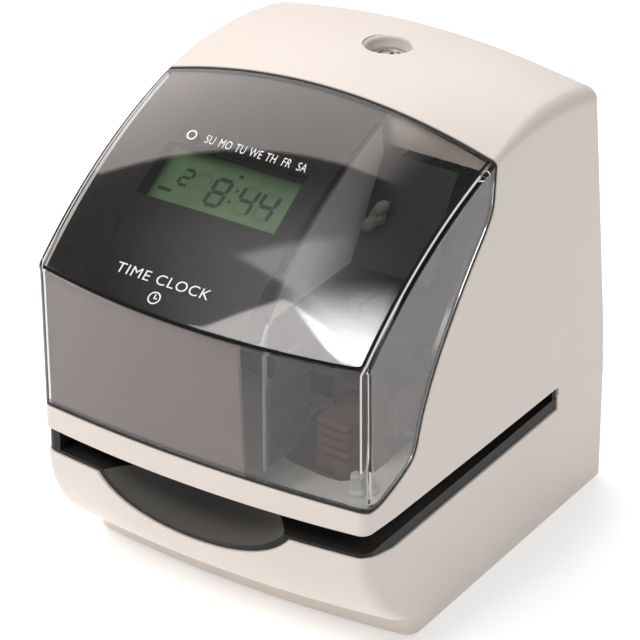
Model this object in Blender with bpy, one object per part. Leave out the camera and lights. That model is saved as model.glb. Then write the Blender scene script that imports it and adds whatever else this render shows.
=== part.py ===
"""Punch time clock: a desktop electronic time recorder with a lift-off cover.

Units: the constants are millimetres and become metres in the mesh helpers.
Frame: +Z up, -Y is the front, +X is the open end of the document slot.
The origin is the middle of the underside.
"""
import math

import bpy
from mathutils import Matrix, Vector

# ---------------------------------------------------------------- driving dimensions (mm)
HALF_WIDTH = 75.0
CREASE_Z = 135.5            # bend between the upright and the sloping face
LIP_Z = 64.3                # lower edge of the cover at the front
LIP_Z_REAR = 60.3           # the same edge where the slot ends
SEAM_Z = 57.3               # cover meets base behind the slot
SLOT_END_Y = 56.0
TABLE_TOP = 55.6            # the surface a card slides on
RIM_FRONT = 54.0            # top of the base wall at the front
RIM_SIDE = 50.3             # and along the sides
WALL = 2.6                  # cover wall
BASE_WALL = 3.0
GAP = 0.3                   # clearance between touching pieces
BASE_BOTTOM = 1.5
BACK_Y = 95.4
FOOT_RADIUS = 7.0

# the cover's outline in a side view: (y, z) at the side walls and at the middle
SIDE_KEYS = {"lip": (-85.6, 64.3), "crease": (-86.5, 135.5), "brow": (2.0, 184.0), "rear": (77.0, 184.6)}
MID_KEYS = {"lip": (-90.5, 64.3), "crease": (-95.4, 135.5), "brow": (2.0, 195.0), "rear": (77.0, 191.5)}
SLOPE_SAG = (6.2, 8.0)      # rise of the sloping face over its chord, side and middle
TOP_SAG = (5.5, 3.2)
BACK_KINK = (94.6, 70.0)
BACK_SHOULDER = (82.4, 176.0)
HULL_FOOT = 40.0            # both hull solids run down to here before they are trimmed

# the base's front, from its rim to the plinth: (z, y at the side, y at the middle)
BASE_FRONT = ((54.5, -85.6, -90.3), (47.0, -85.0, -89.6), (40.0, -83.2, -87.8), (32.5, -79.8, -84.4),
              (25.0, -74.6, -79.4), (18.0, -67.6, -73.0), (13.0, -60.5, -66.0), (12.0, -54.5, -59.5),
              (BASE_BOTTOM, -52.5, -57.5))
BASE_TOP = 70.0

# where the window meets the cover, in a side view
WINDOW_EDGE = ((2.0, 230.0), (2.0, 172.0), (1.4, 165.0), (-2.6, 158.5), (-14.0, 146.5), (-24.0, 135.0),
               (-38.0, 116.5), (-46.4, 101.0), (-49.4, 93.0), (-51.6, 86.0), (-55.0, 82.2),
               (-66.0, 77.8), (-76.0, 75.2), (-83.0, 75.4), (-90.5, 77.2), (-130.0, 77.2), (-130.0, 230.0))

LOCK_X, LOCK_Y = 0.0, 46.0
LOCK_FACE_Z = 189.5         # floor of the well that the lock sits in
SCOOP_CENTRE = (-2.5, -100.0, 66.0)
SCOOP_RADII = (48.9, 36.0, 27.2)

INLET = ((39.0, 51.0), (16.0, 26.0))           # power socket in the back, x and z
LOCK_BORE = 6.8
THROAT_Z = (61.4, 62.6)     # guide plate over the slot
DECK_Z = 66.0               # plate over the card throat
DECK_THICK = 1.6
ROD_Z = 84.0
ROD_FRONT_Y, ROD_REAR_Y = -14.0, 34.0
SWITCH_Y, SWITCH_Z = 34.0, 154.3
LEVER_Y, LEVER_Z = 46.0, 75.0
BELT_Z = 98.0
BELT_Y = 12.0
PULLEY_RADIUS = 7.0
PULLEY_X = (-46.0, 52.0)
CASSETTE_Z = (110.0, 127.6)
RIBBON_X = (11.5, 51.0)
KNOB_CENTRE = (44.0, -36.0)
DIVIDER_X = (27.0, 28.2)
# depth of the divider's front edge below the window, by z
DIVIDER_DEPTH = ((77.0, 8.7), (134.0, 12.0), (148.0, 7.3), (160.0, 4.2), (170.0, 3.8))
DIVIDER_BACK = ((-1.5, 176.6), (-24.2, 139.1))  # rear edge of its upper part (y, z)
DIVIDER_STRIP = 1.6
SHROUD_THICK = 1.6
PANEL_DEPTH = 3.0           # the mask under the window's face, and its thickness
PANEL_THICK = 1.8
CROWN_HALF = 71.4           # half the width that is crowned, between the round edges
PANEL_X = (-71.0, 26.6)
PANEL_TAPER = 4.2           # how much narrower the mask is at the crease than at the brow
LCD_CENTRE = (-18.5, -39.2, 161.85)
LCD_TILT = math.radians(33.0)
LCD_SIZE = (60.0, 25.0)
LCD_OPENING = ((-29.5, 33.8), (-13.9, 10.8))   # hole in the mask, in the display's own plane


# ---------------------------------------------------------------- mesh helpers
def clear_scene():
    for thing in list(bpy.data.objects):
        bpy.data.objects.remove(thing, do_unlink=True)


def material(name, colour, roughness, metallic=0.0, transmission=0.0):
    mat = bpy.data.materials.new(name)
    mat.use_nodes = True
    shader = mat.node_tree.nodes["Principled BSDF"]
    shader.inputs["Base Color"].default_value = (*colour, 1.0)
    shader.inputs["Roughness"].default_value = roughness
    shader.inputs["Metallic"].default_value = metallic
    shader.inputs["Transmission Weight"].default_value = transmission
    mat.diffuse_color = (*colour, 1.0)
    return mat


def mesh_object(name, points, faces, mat=None):
    mesh = bpy.data.meshes.new(name)
    mesh.from_pydata([(x * 0.001, y * 0.001, z * 0.001) for x, y, z in points], [], faces)
    mesh.update()
    obj = bpy.data.objects.new(name, mesh)
    bpy.context.scene.collection.objects.link(obj)
    if mat:
        mesh.materials.append(mat)
    return obj


def cutter(obj):
    """Mark an object as a construction guide, not a piece of the clock."""
    obj.hide_render = True
    obj.display_type = 'WIRE'
    return obj


def boolean(obj, tool, operation='DIFFERENCE'):
    mod = obj.modifiers.new(operation.lower(), 'BOOLEAN')
    mod.operation = operation
    mod.solver = 'EXACT'
    mod.object = cutter(tool)
    return obj


def bevel(obj, width, segments=1, angle=40.0):
    mod = obj.modifiers.new("bevel", 'BEVEL')
    mod.width = width * 0.001
    mod.segments = segments
    mod.limit_method = 'ANGLE'
    mod.angle_limit = math.radians(angle)
    return obj


def signed_area(outline):
    total = 0.0
    for (ax, ay), (bx, by) in zip(outline, outline[1:] + outline[:1]):
        total += ax * by - bx * ay
    return total / 2.0


def prism(name, outline, low, high, axis, mat=None):
    """Extrude a flat outline along an axis. The outline is (y, z) for X, (x, z) for Y, (x, y) for Z."""
    outline = list(outline)
    turn = signed_area(outline) > 0
    if axis == 'Y':
        turn = not turn
    if not turn:
        outline.reverse()
    place = {'X': lambda u, v, w: (w, u, v), 'Y': lambda u, v, w: (u, w, v), 'Z': lambda u, v, w: (u, v, w)}
    n = len(outline)
    points = [place[axis](u, v, low) for u, v in outline] + [place[axis](u, v, high) for u, v in outline]
    faces = [tuple(range(n))[::-1], tuple(range(n, 2 * n))]
    for i in range(n):
        j = (i + 1) % n
        faces.append((i, j, n + j, n + i))
    return mesh_object(name, points, faces, mat)


def box(name, x, y, z, mat=None):
    return prism(name, [(x[0], y[0]), (x[1], y[0]), (x[1], y[1]), (x[0], y[1])], z[0], z[1], 'Z', mat)


def circle(centre, radius, count=24, start=0.0):
    cx, cy = centre
    step = 2.0 * math.pi / count
    return [(cx + radius * math.cos(start + i * step), cy + radius * math.sin(start + i * step))
            for i in range(count)]


def rounded(x, y, radius, count=4):
    """Outline of a rectangle with round corners."""
    corners = (((x[1] - radius, y[1] - radius), 0.0), ((x[0] + radius, y[1] - radius), 90.0),
               ((x[0] + radius, y[0] + radius), 180.0), ((x[1] - radius, y[0] + radius), 270.0))
    points = []
    for (cx, cy), start in corners:
        for i in range(count + 1):
            a = math.radians(start + 90.0 * i / count)
            points.append((cx + radius * math.cos(a), cy + radius * math.sin(a)))
    return points


def cylinder(name, centre, radius, low, high, axis, mat=None, count=24):
    return prism(name, circle(centre, radius, count), low, high, axis, mat)


def lathe(name, profile, centre, mat=None, count=24):
    """Turn (radius, z) points, listed bottom to top on the outside, about a vertical line."""
    cx, cy = centre
    points = []
    for radius, z in profile:
        points += [(x, y, z) for x, y in circle((cx, cy), radius, count)]
    faces = []
    rings = len(profile)
    for k in range(rings - 1):
        for i in range(count):
            j = (i + 1) % count
            faces.append((k * count + i, k * count + j, (k + 1) * count + j, (k + 1) * count + i))
    faces.append(tuple(range(count))[::-1])
    faces.append(tuple(range((rings - 1) * count, rings * count)))
    return mesh_object(name, points, faces, mat)


def smooth(obj, angle=30.0):
    mesh = obj.data
    mesh.shade_smooth()
    mesh.set_sharp_from_angle(angle=math.radians(angle))
    return obj


# ---------------------------------------------------------------- the cover's surface
def mix(a, b, weight):
    return (a[0] + (b[0] - a[0]) * weight, a[1] + (b[1] - a[1]) * weight)


def arc(start, end, sag, count):
    """Points on a circular arc that rises by sag over its chord, without its first point."""
    (ay, az), (by, bz) = start, end
    chord = math.hypot(by - ay, bz - az)
    radius = (chord * chord / 4.0 + sag * sag) / (2.0 * sag)
    half = math.asin(chord / 2.0 / radius)
    along = ((by - ay) / chord, (bz - az) / chord)
    up = (-along[1], along[0])
    centre = ((ay + by) / 2 - up[0] * (radius - sag), (az + bz) / 2 - up[1] * (radius - sag))
    points = []
    for i in range(1, count + 1):
        a = -half + 2.0 * half * i / count
        points.append((centre[0] + radius * (math.sin(a) * along[0] + math.cos(a) * up[0]),
                       centre[1] + radius * (math.sin(a) * along[1] + math.cos(a) * up[1])))
    return points


def cover_profile(crown, foot=HULL_FOOT):
    """Side view of the cover at one station: crown is 1 on the centre line and 0 at the sides."""
    key = {name: mix(SIDE_KEYS[name], MID_KEYS[name], crown) for name in SIDE_KEYS}
    sag = SLOPE_SAG[0] + (SLOPE_SAG[1] - SLOPE_SAG[0]) * crown
    top_sag = TOP_SAG[0] + (TOP_SAG[1] - TOP_SAG[0]) * crown
    lean = (key["crease"][0] - key["lip"][0]) / (key["crease"][1] - key["lip"][1])
    points = [(key["lip"][0] + lean * (foot - key["lip"][1]), foot), key["lip"],
              mix(key["lip"], key["crease"], 0.5), mix(key["lip"], key["crease"], 0.975)]
    slope = arc(key["crease"], key["brow"], sag, 9)
    points.append(mix(key["crease"], slope[0], 0.17))
    points += slope
    points += arc(key["brow"], key["rear"], top_sag, 6)
    points += arc(key["rear"], BACK_SHOULDER, 1.9, 3)
    points += [mix(BACK_SHOULDER, BACK_KINK, 0.5), BACK_KINK, (BACK_Y, foot)]
    return points


def corner_radius(y, z):
    """Radius of the edge between the side wall and the rest: tight along the window, soft on the top."""
    if y > 80.0:
        return 4.0
    if z < CREASE_Z:
        return 5.0
    return 2.8 + 4.2 * min(max((y - 4.0) / 36.0, 0.0), 1.0)


def inset(points, distances):
    """Move each point of an open outline inwards, to its right-hand side when it runs clockwise."""
    moved = []
    last = len(points) - 1
    for i, (y, z) in enumerate(points):
        before = points[max(i - 1, 0)]
        after = points[min(i + 1, last)]
        first = Vector((y - before[0], z - before[1]))
        second = Vector((after[0] - y, after[1] - z))
        if i == 0:
            first = second
        if i == last:
            second = first
        first.normalize()
        second.normalize()
        normal = Vector((first.y + second.y, -(first.x + second.x)))
        normal.normalize()
        half_turn = max(normal.dot(Vector((first.y, -first.x))), 0.5)
        reach = distances[i] / half_turn
        moved.append((y + normal.x * reach, z + normal.y * reach))
    moved[0] = (moved[0][0], points[0][1])
    moved[last] = (moved[last][0], points[last][1])
    return moved


def stations(half_width, count):
    return [half_width * (-1.0 + 2.0 * i / count) for i in range(count + 1)]


def lofted(name, profile, depth, mat=None, count=12, steps=3, radius=corner_radius):
    """Closed solid under a crowned profile, set in by depth, with round edges to flat side walls."""
    half = HALF_WIDTH - depth
    rows = []
    for x in stations(1.0, count):
        crown = 1.0 - x * x
        base = profile(crown)
        radii = [max(radius(*p) - depth, 1.0) for p in base]
        rows.append([(x, r, p) for r, p in zip(radii, inset(base, [depth] * len(base)))])
    points = []
    size = len(rows[0])

    def add(row, side, angle):
        base = [p for _, _, p in row]
        radii = [r for _, r, _ in row]
        pulled = inset(base, [r * (1.0 - math.cos(angle)) for r in radii])
        for r, (y, z) in zip(radii, pulled):
            points.append((side * (half - r + r * math.sin(angle)), y, z))

    for k in range(steps, 0, -1):
        add(rows[0], -1.0, math.pi / 2.0 * k / steps)
    for row in rows:
        for x, r, (y, z) in row:
            points.append((x * (half - r), y, z))
    for k in range(1, steps + 1):
        add(rows[-1], 1.0, math.pi / 2.0 * k / steps)
    columns = len(points) // size
    faces = []
    for c in range(columns - 1):
        for i in range(size - 1):
            a = c * size + i
            faces.append((a, a + 1, a + size + 1, a + size))
        faces.append(((c + 1) * size - 1, c * size, (c + 1) * size, (c + 2) * size - 1))
    faces.append(tuple(range(size))[::-1])
    faces.append(tuple(range((columns - 1) * size, columns * size)))
    faces = [face[::-1] for face in faces]
    return mesh_object(name, points, faces, mat)


def patch(name, x_range, first, last, depths, mat=None, count=8, taper=0.0):
    """Curved plate under the cover's profile from point first to last; taper narrows its first end."""
    points = []
    span = last - first + 1
    for depth in depths:
        for i in range(count + 1):
            for k in range(first, last + 1):
                right = x_range[1] - taper * (last - k) / (last - first)
                x = x_range[0] + (right - x_range[0]) * i / count
                base = cover_profile(1.0 - (x / CROWN_HALF) ** 2)
                points.append((x, *inset(base, [depth] * len(base))[k]))
    layer = (count + 1) * span
    faces = []
    for i in range(count):
        for k in range(span - 1):
            a = i * span + k
            faces.append((a, a + 1, a + span + 1, a + span))
            faces.append((layer + a, layer + a + span, layer + a + span + 1, layer + a + 1))
    for i in range(count):
        for k, turn in ((0, False), (span - 1, True)):
            a = i * span + k
            face = (a, a + span, layer + a + span, layer + a)
            faces.append(face[::-1] if turn else face)
    for i, turn in ((0, True), (count, False)):
        for k in range(span - 1):
            a = i * span + k
            face = (a, a + 1, layer + a + 1, layer + a)
            faces.append(face[::-1] if turn else face)
    faces = [face[::-1] for face in faces]
    return mesh_object(name, points, faces, mat)


# ---------------------------------------------------------------- base
def base_profile(crown):
    points = [(side + (mid - side) * crown, z) for z, side, mid in BASE_FRONT][::-1]
    top = points[-1]
    return points + [(top[0], BASE_TOP), (BACK_Y, BASE_TOP), (BACK_Y, BASE_BOTTOM)]


def base_radius(y, z):
    return 4.0 if y > 80.0 else 6.0


def base_solid(name, depth, mat=None):
    return lofted(name, base_profile, depth, mat, radius=base_radius)


def scoop(name, grow):
    """Ellipsoid that a fingertip follows down through the front of the table."""
    radii = [r + grow for r in SCOOP_RADII]
    rings, count = 14, 28
    points = [(SCOOP_CENTRE[0], SCOOP_CENTRE[1], SCOOP_CENTRE[2] - radii[2])]
    for k in range(1, rings):
        lat = -math.pi / 2.0 + math.pi * k / rings
        for i in range(count):
            lon = 2.0 * math.pi * i / count
            points.append((SCOOP_CENTRE[0] + radii[0] * math.cos(lat) * math.cos(lon),
                           SCOOP_CENTRE[1] + radii[1] * math.cos(lat) * math.sin(lon),
                           SCOOP_CENTRE[2] + radii[2] * math.sin(lat)))
    points.append((SCOOP_CENTRE[0], SCOOP_CENTRE[1], SCOOP_CENTRE[2] + radii[2]))
    faces = []
    for i in range(count):
        j = (i + 1) % count
        faces.append((0, 1 + j, 1 + i))
        faces.append((len(points) - 1, 1 + (rings - 2) * count + i, 1 + (rings - 2) * count + j))
        for k in range(rings - 2):
            a = 1 + k * count
            faces.append((a + i, a + j, a + count + j, a + count + i))
    return cutter(mesh_object(name, points, faces))


def above_rim(name, lift):
    """Everything over the base's rim, which steps down from the front to the sides."""
    low_front, low_side = RIM_FRONT + lift, RIM_SIDE + lift
    outline = [(-130.0, low_front), (-82.0, low_front), (-76.0, low_front - 1.4), (-66.0, low_side),
               (SLOT_END_Y - lift, low_side), (SLOT_END_Y - lift, SEAM_Z - GAP), (130.0, SEAM_Z - GAP),
               (130.0, 120.0), (-130.0, 120.0)]
    return cutter(prism(name, outline, -90.0, 90.0, 'X'))


BOSSES = ((-66.5, -40.0), (66.5, -40.0), (-66.5, 84.0), (66.5, 84.0))


def make_base(cream):
    shell = base_solid("base_shell", 0.0, cream)
    tall = lambda c: [(y, z - 12.0 if z < 5.0 else z + 20.0 if z > 60.0 else z) for y, z in base_profile(c)]
    hollow = cutter(lofted("base_hollow", tall, BASE_WALL, radius=base_radius))
    boolean(shell, hollow)
    boolean(shell, above_rim("rim_cut", 0.0))
    boolean(shell, scoop("base_notch", 2.6 + GAP))
    for i, (x, y) in enumerate(BOSSES):
        reach = 73.0 if x > 0 else -73.0
        low_x, high_x = sorted((x - math.copysign(4.5, x), reach))
        block = cutter(box("boss_%d" % i, (low_x, high_x), (y - 4.5, y + 4.5), (4.5, 24.0)))
        boolean(shell, block, 'UNION')
        boolean(shell, cutter(cylinder("boss_hole_%d" % i, (x, y), 2.0, 2.0, 18.0, 'Z', count=16)))
    (left, right), (low, high) = INLET
    jack = cutter(box("inlet_hole", (left - GAP, right + GAP), (88.0, 99.0), (low - GAP, high + GAP)))
    boolean(shell, jack)


def make_table(black):
    table = base_solid("document_table", 0.8, black)
    keep = cutter(box("table_slab", (-80.0, 80.0), (-100.0, SLOT_END_Y - GAP), (RIM_SIDE + GAP, TABLE_TOP)))
    bowl = base_solid("table_bowl", 0.8)
    boolean(bowl, scoop("bowl_skin", 2.6), 'INTERSECT')
    boolean(bowl, cutter(box("bowl_keep", (-80.0, 80.0), (-100.0, -62.0), (30.0, TABLE_TOP))), 'INTERSECT')
    boolean(table, keep, 'INTERSECT')
    low = RIM_FRONT + GAP
    step = [(-130.0, low), (-82.0, low), (-76.0, low - 1.4), (-66.0, RIM_SIDE + GAP), (-66.0, 20.0),
            (-130.0, 20.0)]
    boolean(table, cutter(prism("table_step", step, -90.0, 90.0, 'X')))
    boolean(table, bowl, 'UNION')
    fence = base_solid("left_fence", 0.8)
    side = [(-95.0, 54.8), (-95.0, 61.0), (-86.6, 63.6), (-60.0, 62.4), (0.0, 60.6), (55.7, 59.7),
            (55.7, 54.8)]
    boolean(fence, cutter(prism("fence_side", side, -90.0, -67.0, 'X')), 'INTERSECT')
    boolean(table, cutter(fence), 'UNION')
    boolean(table, cutter(box("back_stop", (-70.0, 74.0), (53.2, 55.7), (54.8, 59.7))), 'UNION')
    boolean(table, scoop("finger_scoop", 0.0))
    boolean(table, cutter(box("platen_pocket", (-45.5, 50.5), (-52.5, -39.5), (40.0, 60.0))))


def make_feet(rubber, steel):
    for tag, x, y in (("front_left", -52.0, -30.0), ("front_right", 52.0, -30.0),
                      ("rear_left", -52.0, 76.0), ("rear_right", 52.0, 76.0)):
        outline = [(FOOT_RADIUS - 0.8, 0.0), (FOOT_RADIUS, 0.7), (FOOT_RADIUS - 0.6, 2.7)]
        lathe("foot_" + tag, outline, (x, y), rubber)
    for i, (x, y) in enumerate(BOSSES):
        lathe("bottom_screw_%d" % (i + 1), [(2.0, 1.3), (3.3, 1.8), (3.3, 2.7), (1.6, 2.7), (1.6, 14.0)],
              (x, y), steel, count=16)


def make_bottom_plate(steel):
    plate = prism("bottom_plate", rounded((-71.2, 71.2), (-48.5, 91.8), 5.0), 3.0, 4.2, 'Z', steel)
    for i, (x, y) in enumerate(BOSSES):
        boolean(plate, cutter(cylinder("plate_hole_%d" % i, (x, y), 2.1, 0.0, 9.0, 'Z', count=16)))


def make_inlet(black, metal):
    """Socket for the power lead's plug, with its centre pin; both point backwards."""
    (left, right), (low, high) = INLET
    centre = ((left + right) / 2.0, (low + high) / 2.0)
    floor = 88.0
    jack = box("power_inlet", INLET[0], (84.0, 95.0), INLET[1], black)
    boolean(jack, cutter(cylinder("inlet_bore", centre, 3.2, floor, 99.0, 'Y', count=20)))
    pin = lathe("inlet_pin", [(1.0, 0.0), (1.0, 5.4), (0.6, 6.0)], (0.0, 0.0), metal, count=12)
    stand = Matrix.Translation(Vector((centre[0], floor + GAP, centre[1])) * 0.001)
    pin.data.transform(stand @ Matrix.Rotation(-math.pi / 2.0, 4, 'X'))


# ---------------------------------------------------------------- cover
def window_region(name, grow):
    """Prism through the cover inside the window's edge; grow widens it."""
    outline = inset(list(WINDOW_EDGE), [-grow] * len(WINDOW_EDGE))
    return cutter(prism(name, outline, -90.0, 90.0, 'X'))


def below_cover(name):
    outline = [(-130.0, LIP_Z), (-84.0, LIP_Z), (-66.0, LIP_Z - 1.2), (0.0, LIP_Z - 2.9),
               (SLOT_END_Y + 0.5, LIP_Z_REAR), (SLOT_END_Y + 0.5, SEAM_Z), (130.0, SEAM_Z),
               (130.0, 20.0), (-130.0, 20.0)]
    return cutter(prism(name, outline, -90.0, 90.0, 'X'))


def cover_inner(name, depth):
    return cutter(lofted(name, lambda c: cover_profile(c, 30.0), depth))


def make_cover(cream, smoke, black, steel, brass):
    cover = lofted("top_cover", cover_profile, 0.0, cream)
    boolean(cover, cover_inner("cover_hollow", WALL))
    boolean(cover, below_cover("cover_trim"))
    boolean(cover, window_region("window_hole", GAP + 1.2))
    rib = lofted("cover_rib", cover_profile, WALL - 0.6)
    boolean(rib, cutter(box("rib_keep", (-69.0, 69.0), (4.6, 7.0), (176.5, 210.0))), 'INTERSECT')
    boolean(cover, cutter(rib), 'UNION')
    well = cutter(lathe("lock_well", [(10.8, LOCK_FACE_Z - 2.0), (10.8, 194.6)], (LOCK_X, LOCK_Y)))
    boolean(cover, well, 'UNION')
    bore = [(LOCK_BORE, 180.0), (LOCK_BORE, LOCK_FACE_Z), (8.8, LOCK_FACE_Z), (9.0, 200.0)]
    boolean(cover, cutter(lathe("well_bore", bore, (LOCK_X, LOCK_Y))))

    window = lofted("window", cover_profile, 0.0, smoke)
    boolean(window, cover_inner("window_hollow", WALL))
    boolean(window, window_region("window_shape", 0.0), 'INTERSECT')

    seal = lofted("window_seal", cover_profile, 0.35, black)
    boolean(seal, cover_inner("seal_hollow", WALL - 0.1))
    boolean(seal, window_region("seal_outside", 1.2), 'INTERSECT')
    boolean(seal, window_region("seal_inside", GAP))

    face = LOCK_FACE_Z + GAP
    outline = [(6.0, 164.0), (6.0, 187.4), (6.4, 187.5), (6.4, face), (8.2, face), (8.2, LOCK_FACE_Z + 1.2),
               (7.4, LOCK_FACE_Z + 1.8)]
    barrel = lathe("lock_barrel", outline, (LOCK_X, LOCK_Y), steel)
    boolean(barrel, cutter(cylinder("barrel_bore", (LOCK_X, LOCK_Y), 5.0, 160.0, 200.0, 'Z')))
    nut = prism("lock_nut", circle((LOCK_X, LOCK_Y), 10.0, 6), 182.7, 187.2, 'Z', brass)
    boolean(nut, cutter(cylinder("nut_bore", (LOCK_X, LOCK_Y), 6.3, 170.0, 200.0, 'Z')))


def make_lock(steel):
    plug = lathe("lock_plug", [(4.0, 158.0), (4.0, 163.0), (4.7, 163.0), (4.7, LOCK_FACE_Z + 1.0),
                               (4.2, LOCK_FACE_Z + 1.4)], (LOCK_X, LOCK_Y), steel)
    keyway = box("keyway", (LOCK_X - 0.7, LOCK_X + 0.7), (LOCK_Y - 3.2, LOCK_Y + 3.2), (178.0, 200.0))
    boolean(plug, cutter(keyway))
    arm = [(-5.5, LOCK_Y + 5.5), (-5.5, LOCK_Y - 6.0), (-4.0, LOCK_Y - 22.0), (4.0, LOCK_Y - 22.0),
           (5.5, LOCK_Y - 6.0), (5.5, LOCK_Y + 5.5)]
    cam = prism("lock_cam", arm, 160.0, 161.6, 'Z', steel)
    boolean(cam, cutter(cylinder("cam_bore", (LOCK_X, LOCK_Y), 4.3, 150.0, 170.0, 'Z')))


# ---------------------------------------------------------------- chassis and display
def make_chassis(steel):
    wall = box("chassis", (-64.0, 64.0), (60.0, 62.0), (6.0, 152.0), steel)
    boolean(wall, cutter(box("chassis_foot", (-64.0, 64.0), (14.0, 61.0), (6.0, 8.0))), 'UNION')
    left = [(-58.0, 66.6), (-58.0, 124.0), (-20.0, 148.0), (61.0, 152.0), (61.0, 66.6)]
    boolean(wall, cutter(prism("left_cheek", left, -64.0, -62.0, 'X')), 'UNION')
    right = [(-22.0, 66.6), (-22.0, 112.0), (0.0, 140.0), (30.0, 152.0), (61.0, 152.0), (61.0, 66.6)]
    boolean(wall, cutter(prism("right_cheek", right, 62.0, 64.0, 'X')), 'UNION')
    boolean(wall, cutter(box("shelf", (-63.0, 63.0), (-20.0, 61.0), (68.0, 69.6))), 'UNION')
    boolean(wall, cutter(box("shelf_window", (-42.0, 56.0), (-24.0, 44.0), (60.0, 72.0))))
    for i, y in enumerate((ROD_FRONT_Y, ROD_REAR_Y)):
        boolean(wall, cutter(cylinder("rod_hole_%d" % i, (y, ROD_Z), 3.4, -70.0, 70.0, 'X')))
    boolean(wall, cutter(box("lever_window", (-3.0, 11.0), (40.0, 56.0), (60.0, 72.0))))
    for i, x in enumerate((-8.0, 14.0)):
        boolean(wall, cutter(box("lever_lug_%d" % i, (x, x + 2.0), (42.0, 50.0), (68.5, 79.0))), 'UNION')
    boolean(wall, cutter(cylinder("lug_bore", (LEVER_Y, LEVER_Z), 1.5, -12.0, 20.0, 'X', count=16)))


def make_throat(black, grey, rubber):
    guide = box("throat_guide", (-61.0, 61.0), (-78.0, 51.0), THROAT_Z, black)
    boolean(guide, cutter(box("guide_window", (8.0, 54.0), (-60.0, -30.0), (55.0, 70.0))))
    boolean(guide, cutter(box("guide_notch", (-3.0, 11.0), (39.0, 60.0), (55.0, 70.0))))
    layer = (DECK_Z, DECK_Z + DECK_THICK)
    deck = prism("ribbon_deck", rounded((-60.0, 68.0), (-78.0, -24.0), 6.0), *layer, 'Z', grey)
    tail = cutter(box("deck_tail", (-58.0, 58.0), (-40.0, -10.0), layer))
    boolean(deck, tail, 'UNION')
    opening = [(10.0, -15.0), (10.0, -50.0), (16.0, -54.5), (24.0, -58.0), (40.0, -60.0),
               (47.0, -59.4), (51.0, -56.0), (53.0, -50.0), (53.0, -15.0)]
    boolean(deck, cutter(prism("deck_window", opening, 60.0, 75.0, 'Z')))
    foot = DECK_Z + DECK_THICK + GAP
    outline = [(5.0, foot), (5.0, foot + 1.1), (3.2, foot + 1.7), (3.2, foot + 7.1), (2.6, foot + 7.7)]
    lathe("deck_post", outline, (57.0, -62.0), grey)
    prism("platen", rounded((-45.0, 50.0), (-52.0, -40.0), 1.0), 51.0, 55.8, 'Z', rubber)


def tilted(obj, centre):
    """Turn a flat piece that was drawn about the origin to the display's tilt and place."""
    turn = Matrix.Rotation(LCD_TILT, 4, 'X')
    place = Matrix.Translation(Vector(centre) * 0.001)
    obj.data.transform(place @ turn)
    return obj


def make_display(black, grey, green, pcb):
    layer = (PANEL_DEPTH, PANEL_DEPTH + PANEL_THICK)
    panel = patch("display_panel", PANEL_X, 4, 12, layer, black, taper=PANEL_TAPER)
    wide, tall = LCD_SIZE
    opening = tilted(box("lcd_opening", *LCD_OPENING, (-12.0, 20.0)), LCD_CENTRE)
    boolean(panel, cutter(opening))
    screen = patch("front_screen", (PANEL_X[0], PANEL_X[1] - PANEL_TAPER), 1, 3, layer, grey)
    boolean(screen, cutter(box("screen_trim", (-80.0, 80.0), (-100.0, -60.0), (50.0, 74.0))))

    def around(grow_x, grow_y):
        return (-wide / 2 - grow_x, wide / 2 + grow_x), (-tall / 2 - grow_y, tall / 2 + grow_y)

    frame = tilted(prism("lcd_frame", rounded(*around(2.2, 2.2), 1.5), -2.0, 4.0, 'Z', black), LCD_CENTRE)
    boolean(frame, cutter(tilted(box("lcd_frame_hole", *around(GAP, GAP), (-5.0, 8.0)), LCD_CENTRE)))
    tilted(box("lcd_glass", *around(0.0, 0.0), (-1.6, 0.6), green), LCD_CENTRE)
    tilted(box("lcd_board", *around(4.0, 5.0), (-6.0, -4.4), pcb), LCD_CENTRE)


def make_electronics(pcb, blue, steel, grey):
    box("main_board", (-60.6, -59.0), (-40.0, 50.0), (107.5, 142.0), pcb)
    battery = box("battery_pack", (-50.0, -8.0), (64.0, 80.0), (72.0, 124.0), blue)
    bevel(battery, 3.0, 2)
    board = box("switch_board", (27.0, 60.0), (26.0, 42.0), (SWITCH_Z, SWITCH_Z + 1.6), pcb)
    for i in range(3):
        x = 33.0 + 10.0 * i
        body = box("switch_body_%d" % i, (x - 4.0, x + 4.0), (30.0, 38.0), (SWITCH_Z + 1.0, SWITCH_Z + 5.0))
        boolean(board, cutter(body), 'UNION')
        well = cylinder("switch_well_%d" % i, (x, SWITCH_Y), 2.5, SWITCH_Z + 2.4, SWITCH_Z + 9.0, 'Z', count=20)
        boolean(board, cutter(well))
        outline = [(2.1, 3.8), (2.1, 7.0), (3.1, 7.4), (3.1, 9.6), (2.7, 10.0)]
        lathe("set_button_%d" % (i + 1), [(r, SWITCH_Z + z) for r, z in outline], (x, SWITCH_Y), grey, count=20)
    box("switch_bracket", (12.0, 64.0), (24.0, 44.0), (SWITCH_Z - 2.0, SWITCH_Z - 0.4), steel)


# ---------------------------------------------------------------- printing mechanism
def make_carriage(steel, black, dark):
    for tag, y in (("front", ROD_FRONT_Y), ("rear", ROD_REAR_Y)):
        smooth(cylinder("guide_rod_" + tag, (y, ROD_Z), 3.0, -66.0, 66.0, 'X', steel, count=20))
    block = box("print_carriage", (26.0, 54.0), (-33.6, 41.0), (75.0, 93.0), black)
    bevel(block, 1.0)
    for i, y in enumerate((ROD_FRONT_Y, ROD_REAR_Y)):
        boolean(block, cutter(cylinder("carriage_bore_%d" % i, (y, ROD_Z), 3.4, 20.0, 60.0, 'X')))
    boolean(block, cutter(box("belt_clamp", (35.0, 43.0), (7.0, 17.0), (92.0, BELT_Z + 5.0))), 'UNION')
    head = box("print_head", (34.0, 48.0), (-56.0, -34.0), (68.4, 90.0), dark)
    boolean(head, cutter(box("head_nose", (37.0, 45.0), (-48.5, -38.0), (61.2, 69.0))), 'UNION')
    for i in range(4):
        z = 74.0 + 4.0 * i
        boolean(head, cutter(box("head_fin_%d" % i, (32.0, 50.0), (-60.0, -52.0), (z, z + 1.6))))


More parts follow.
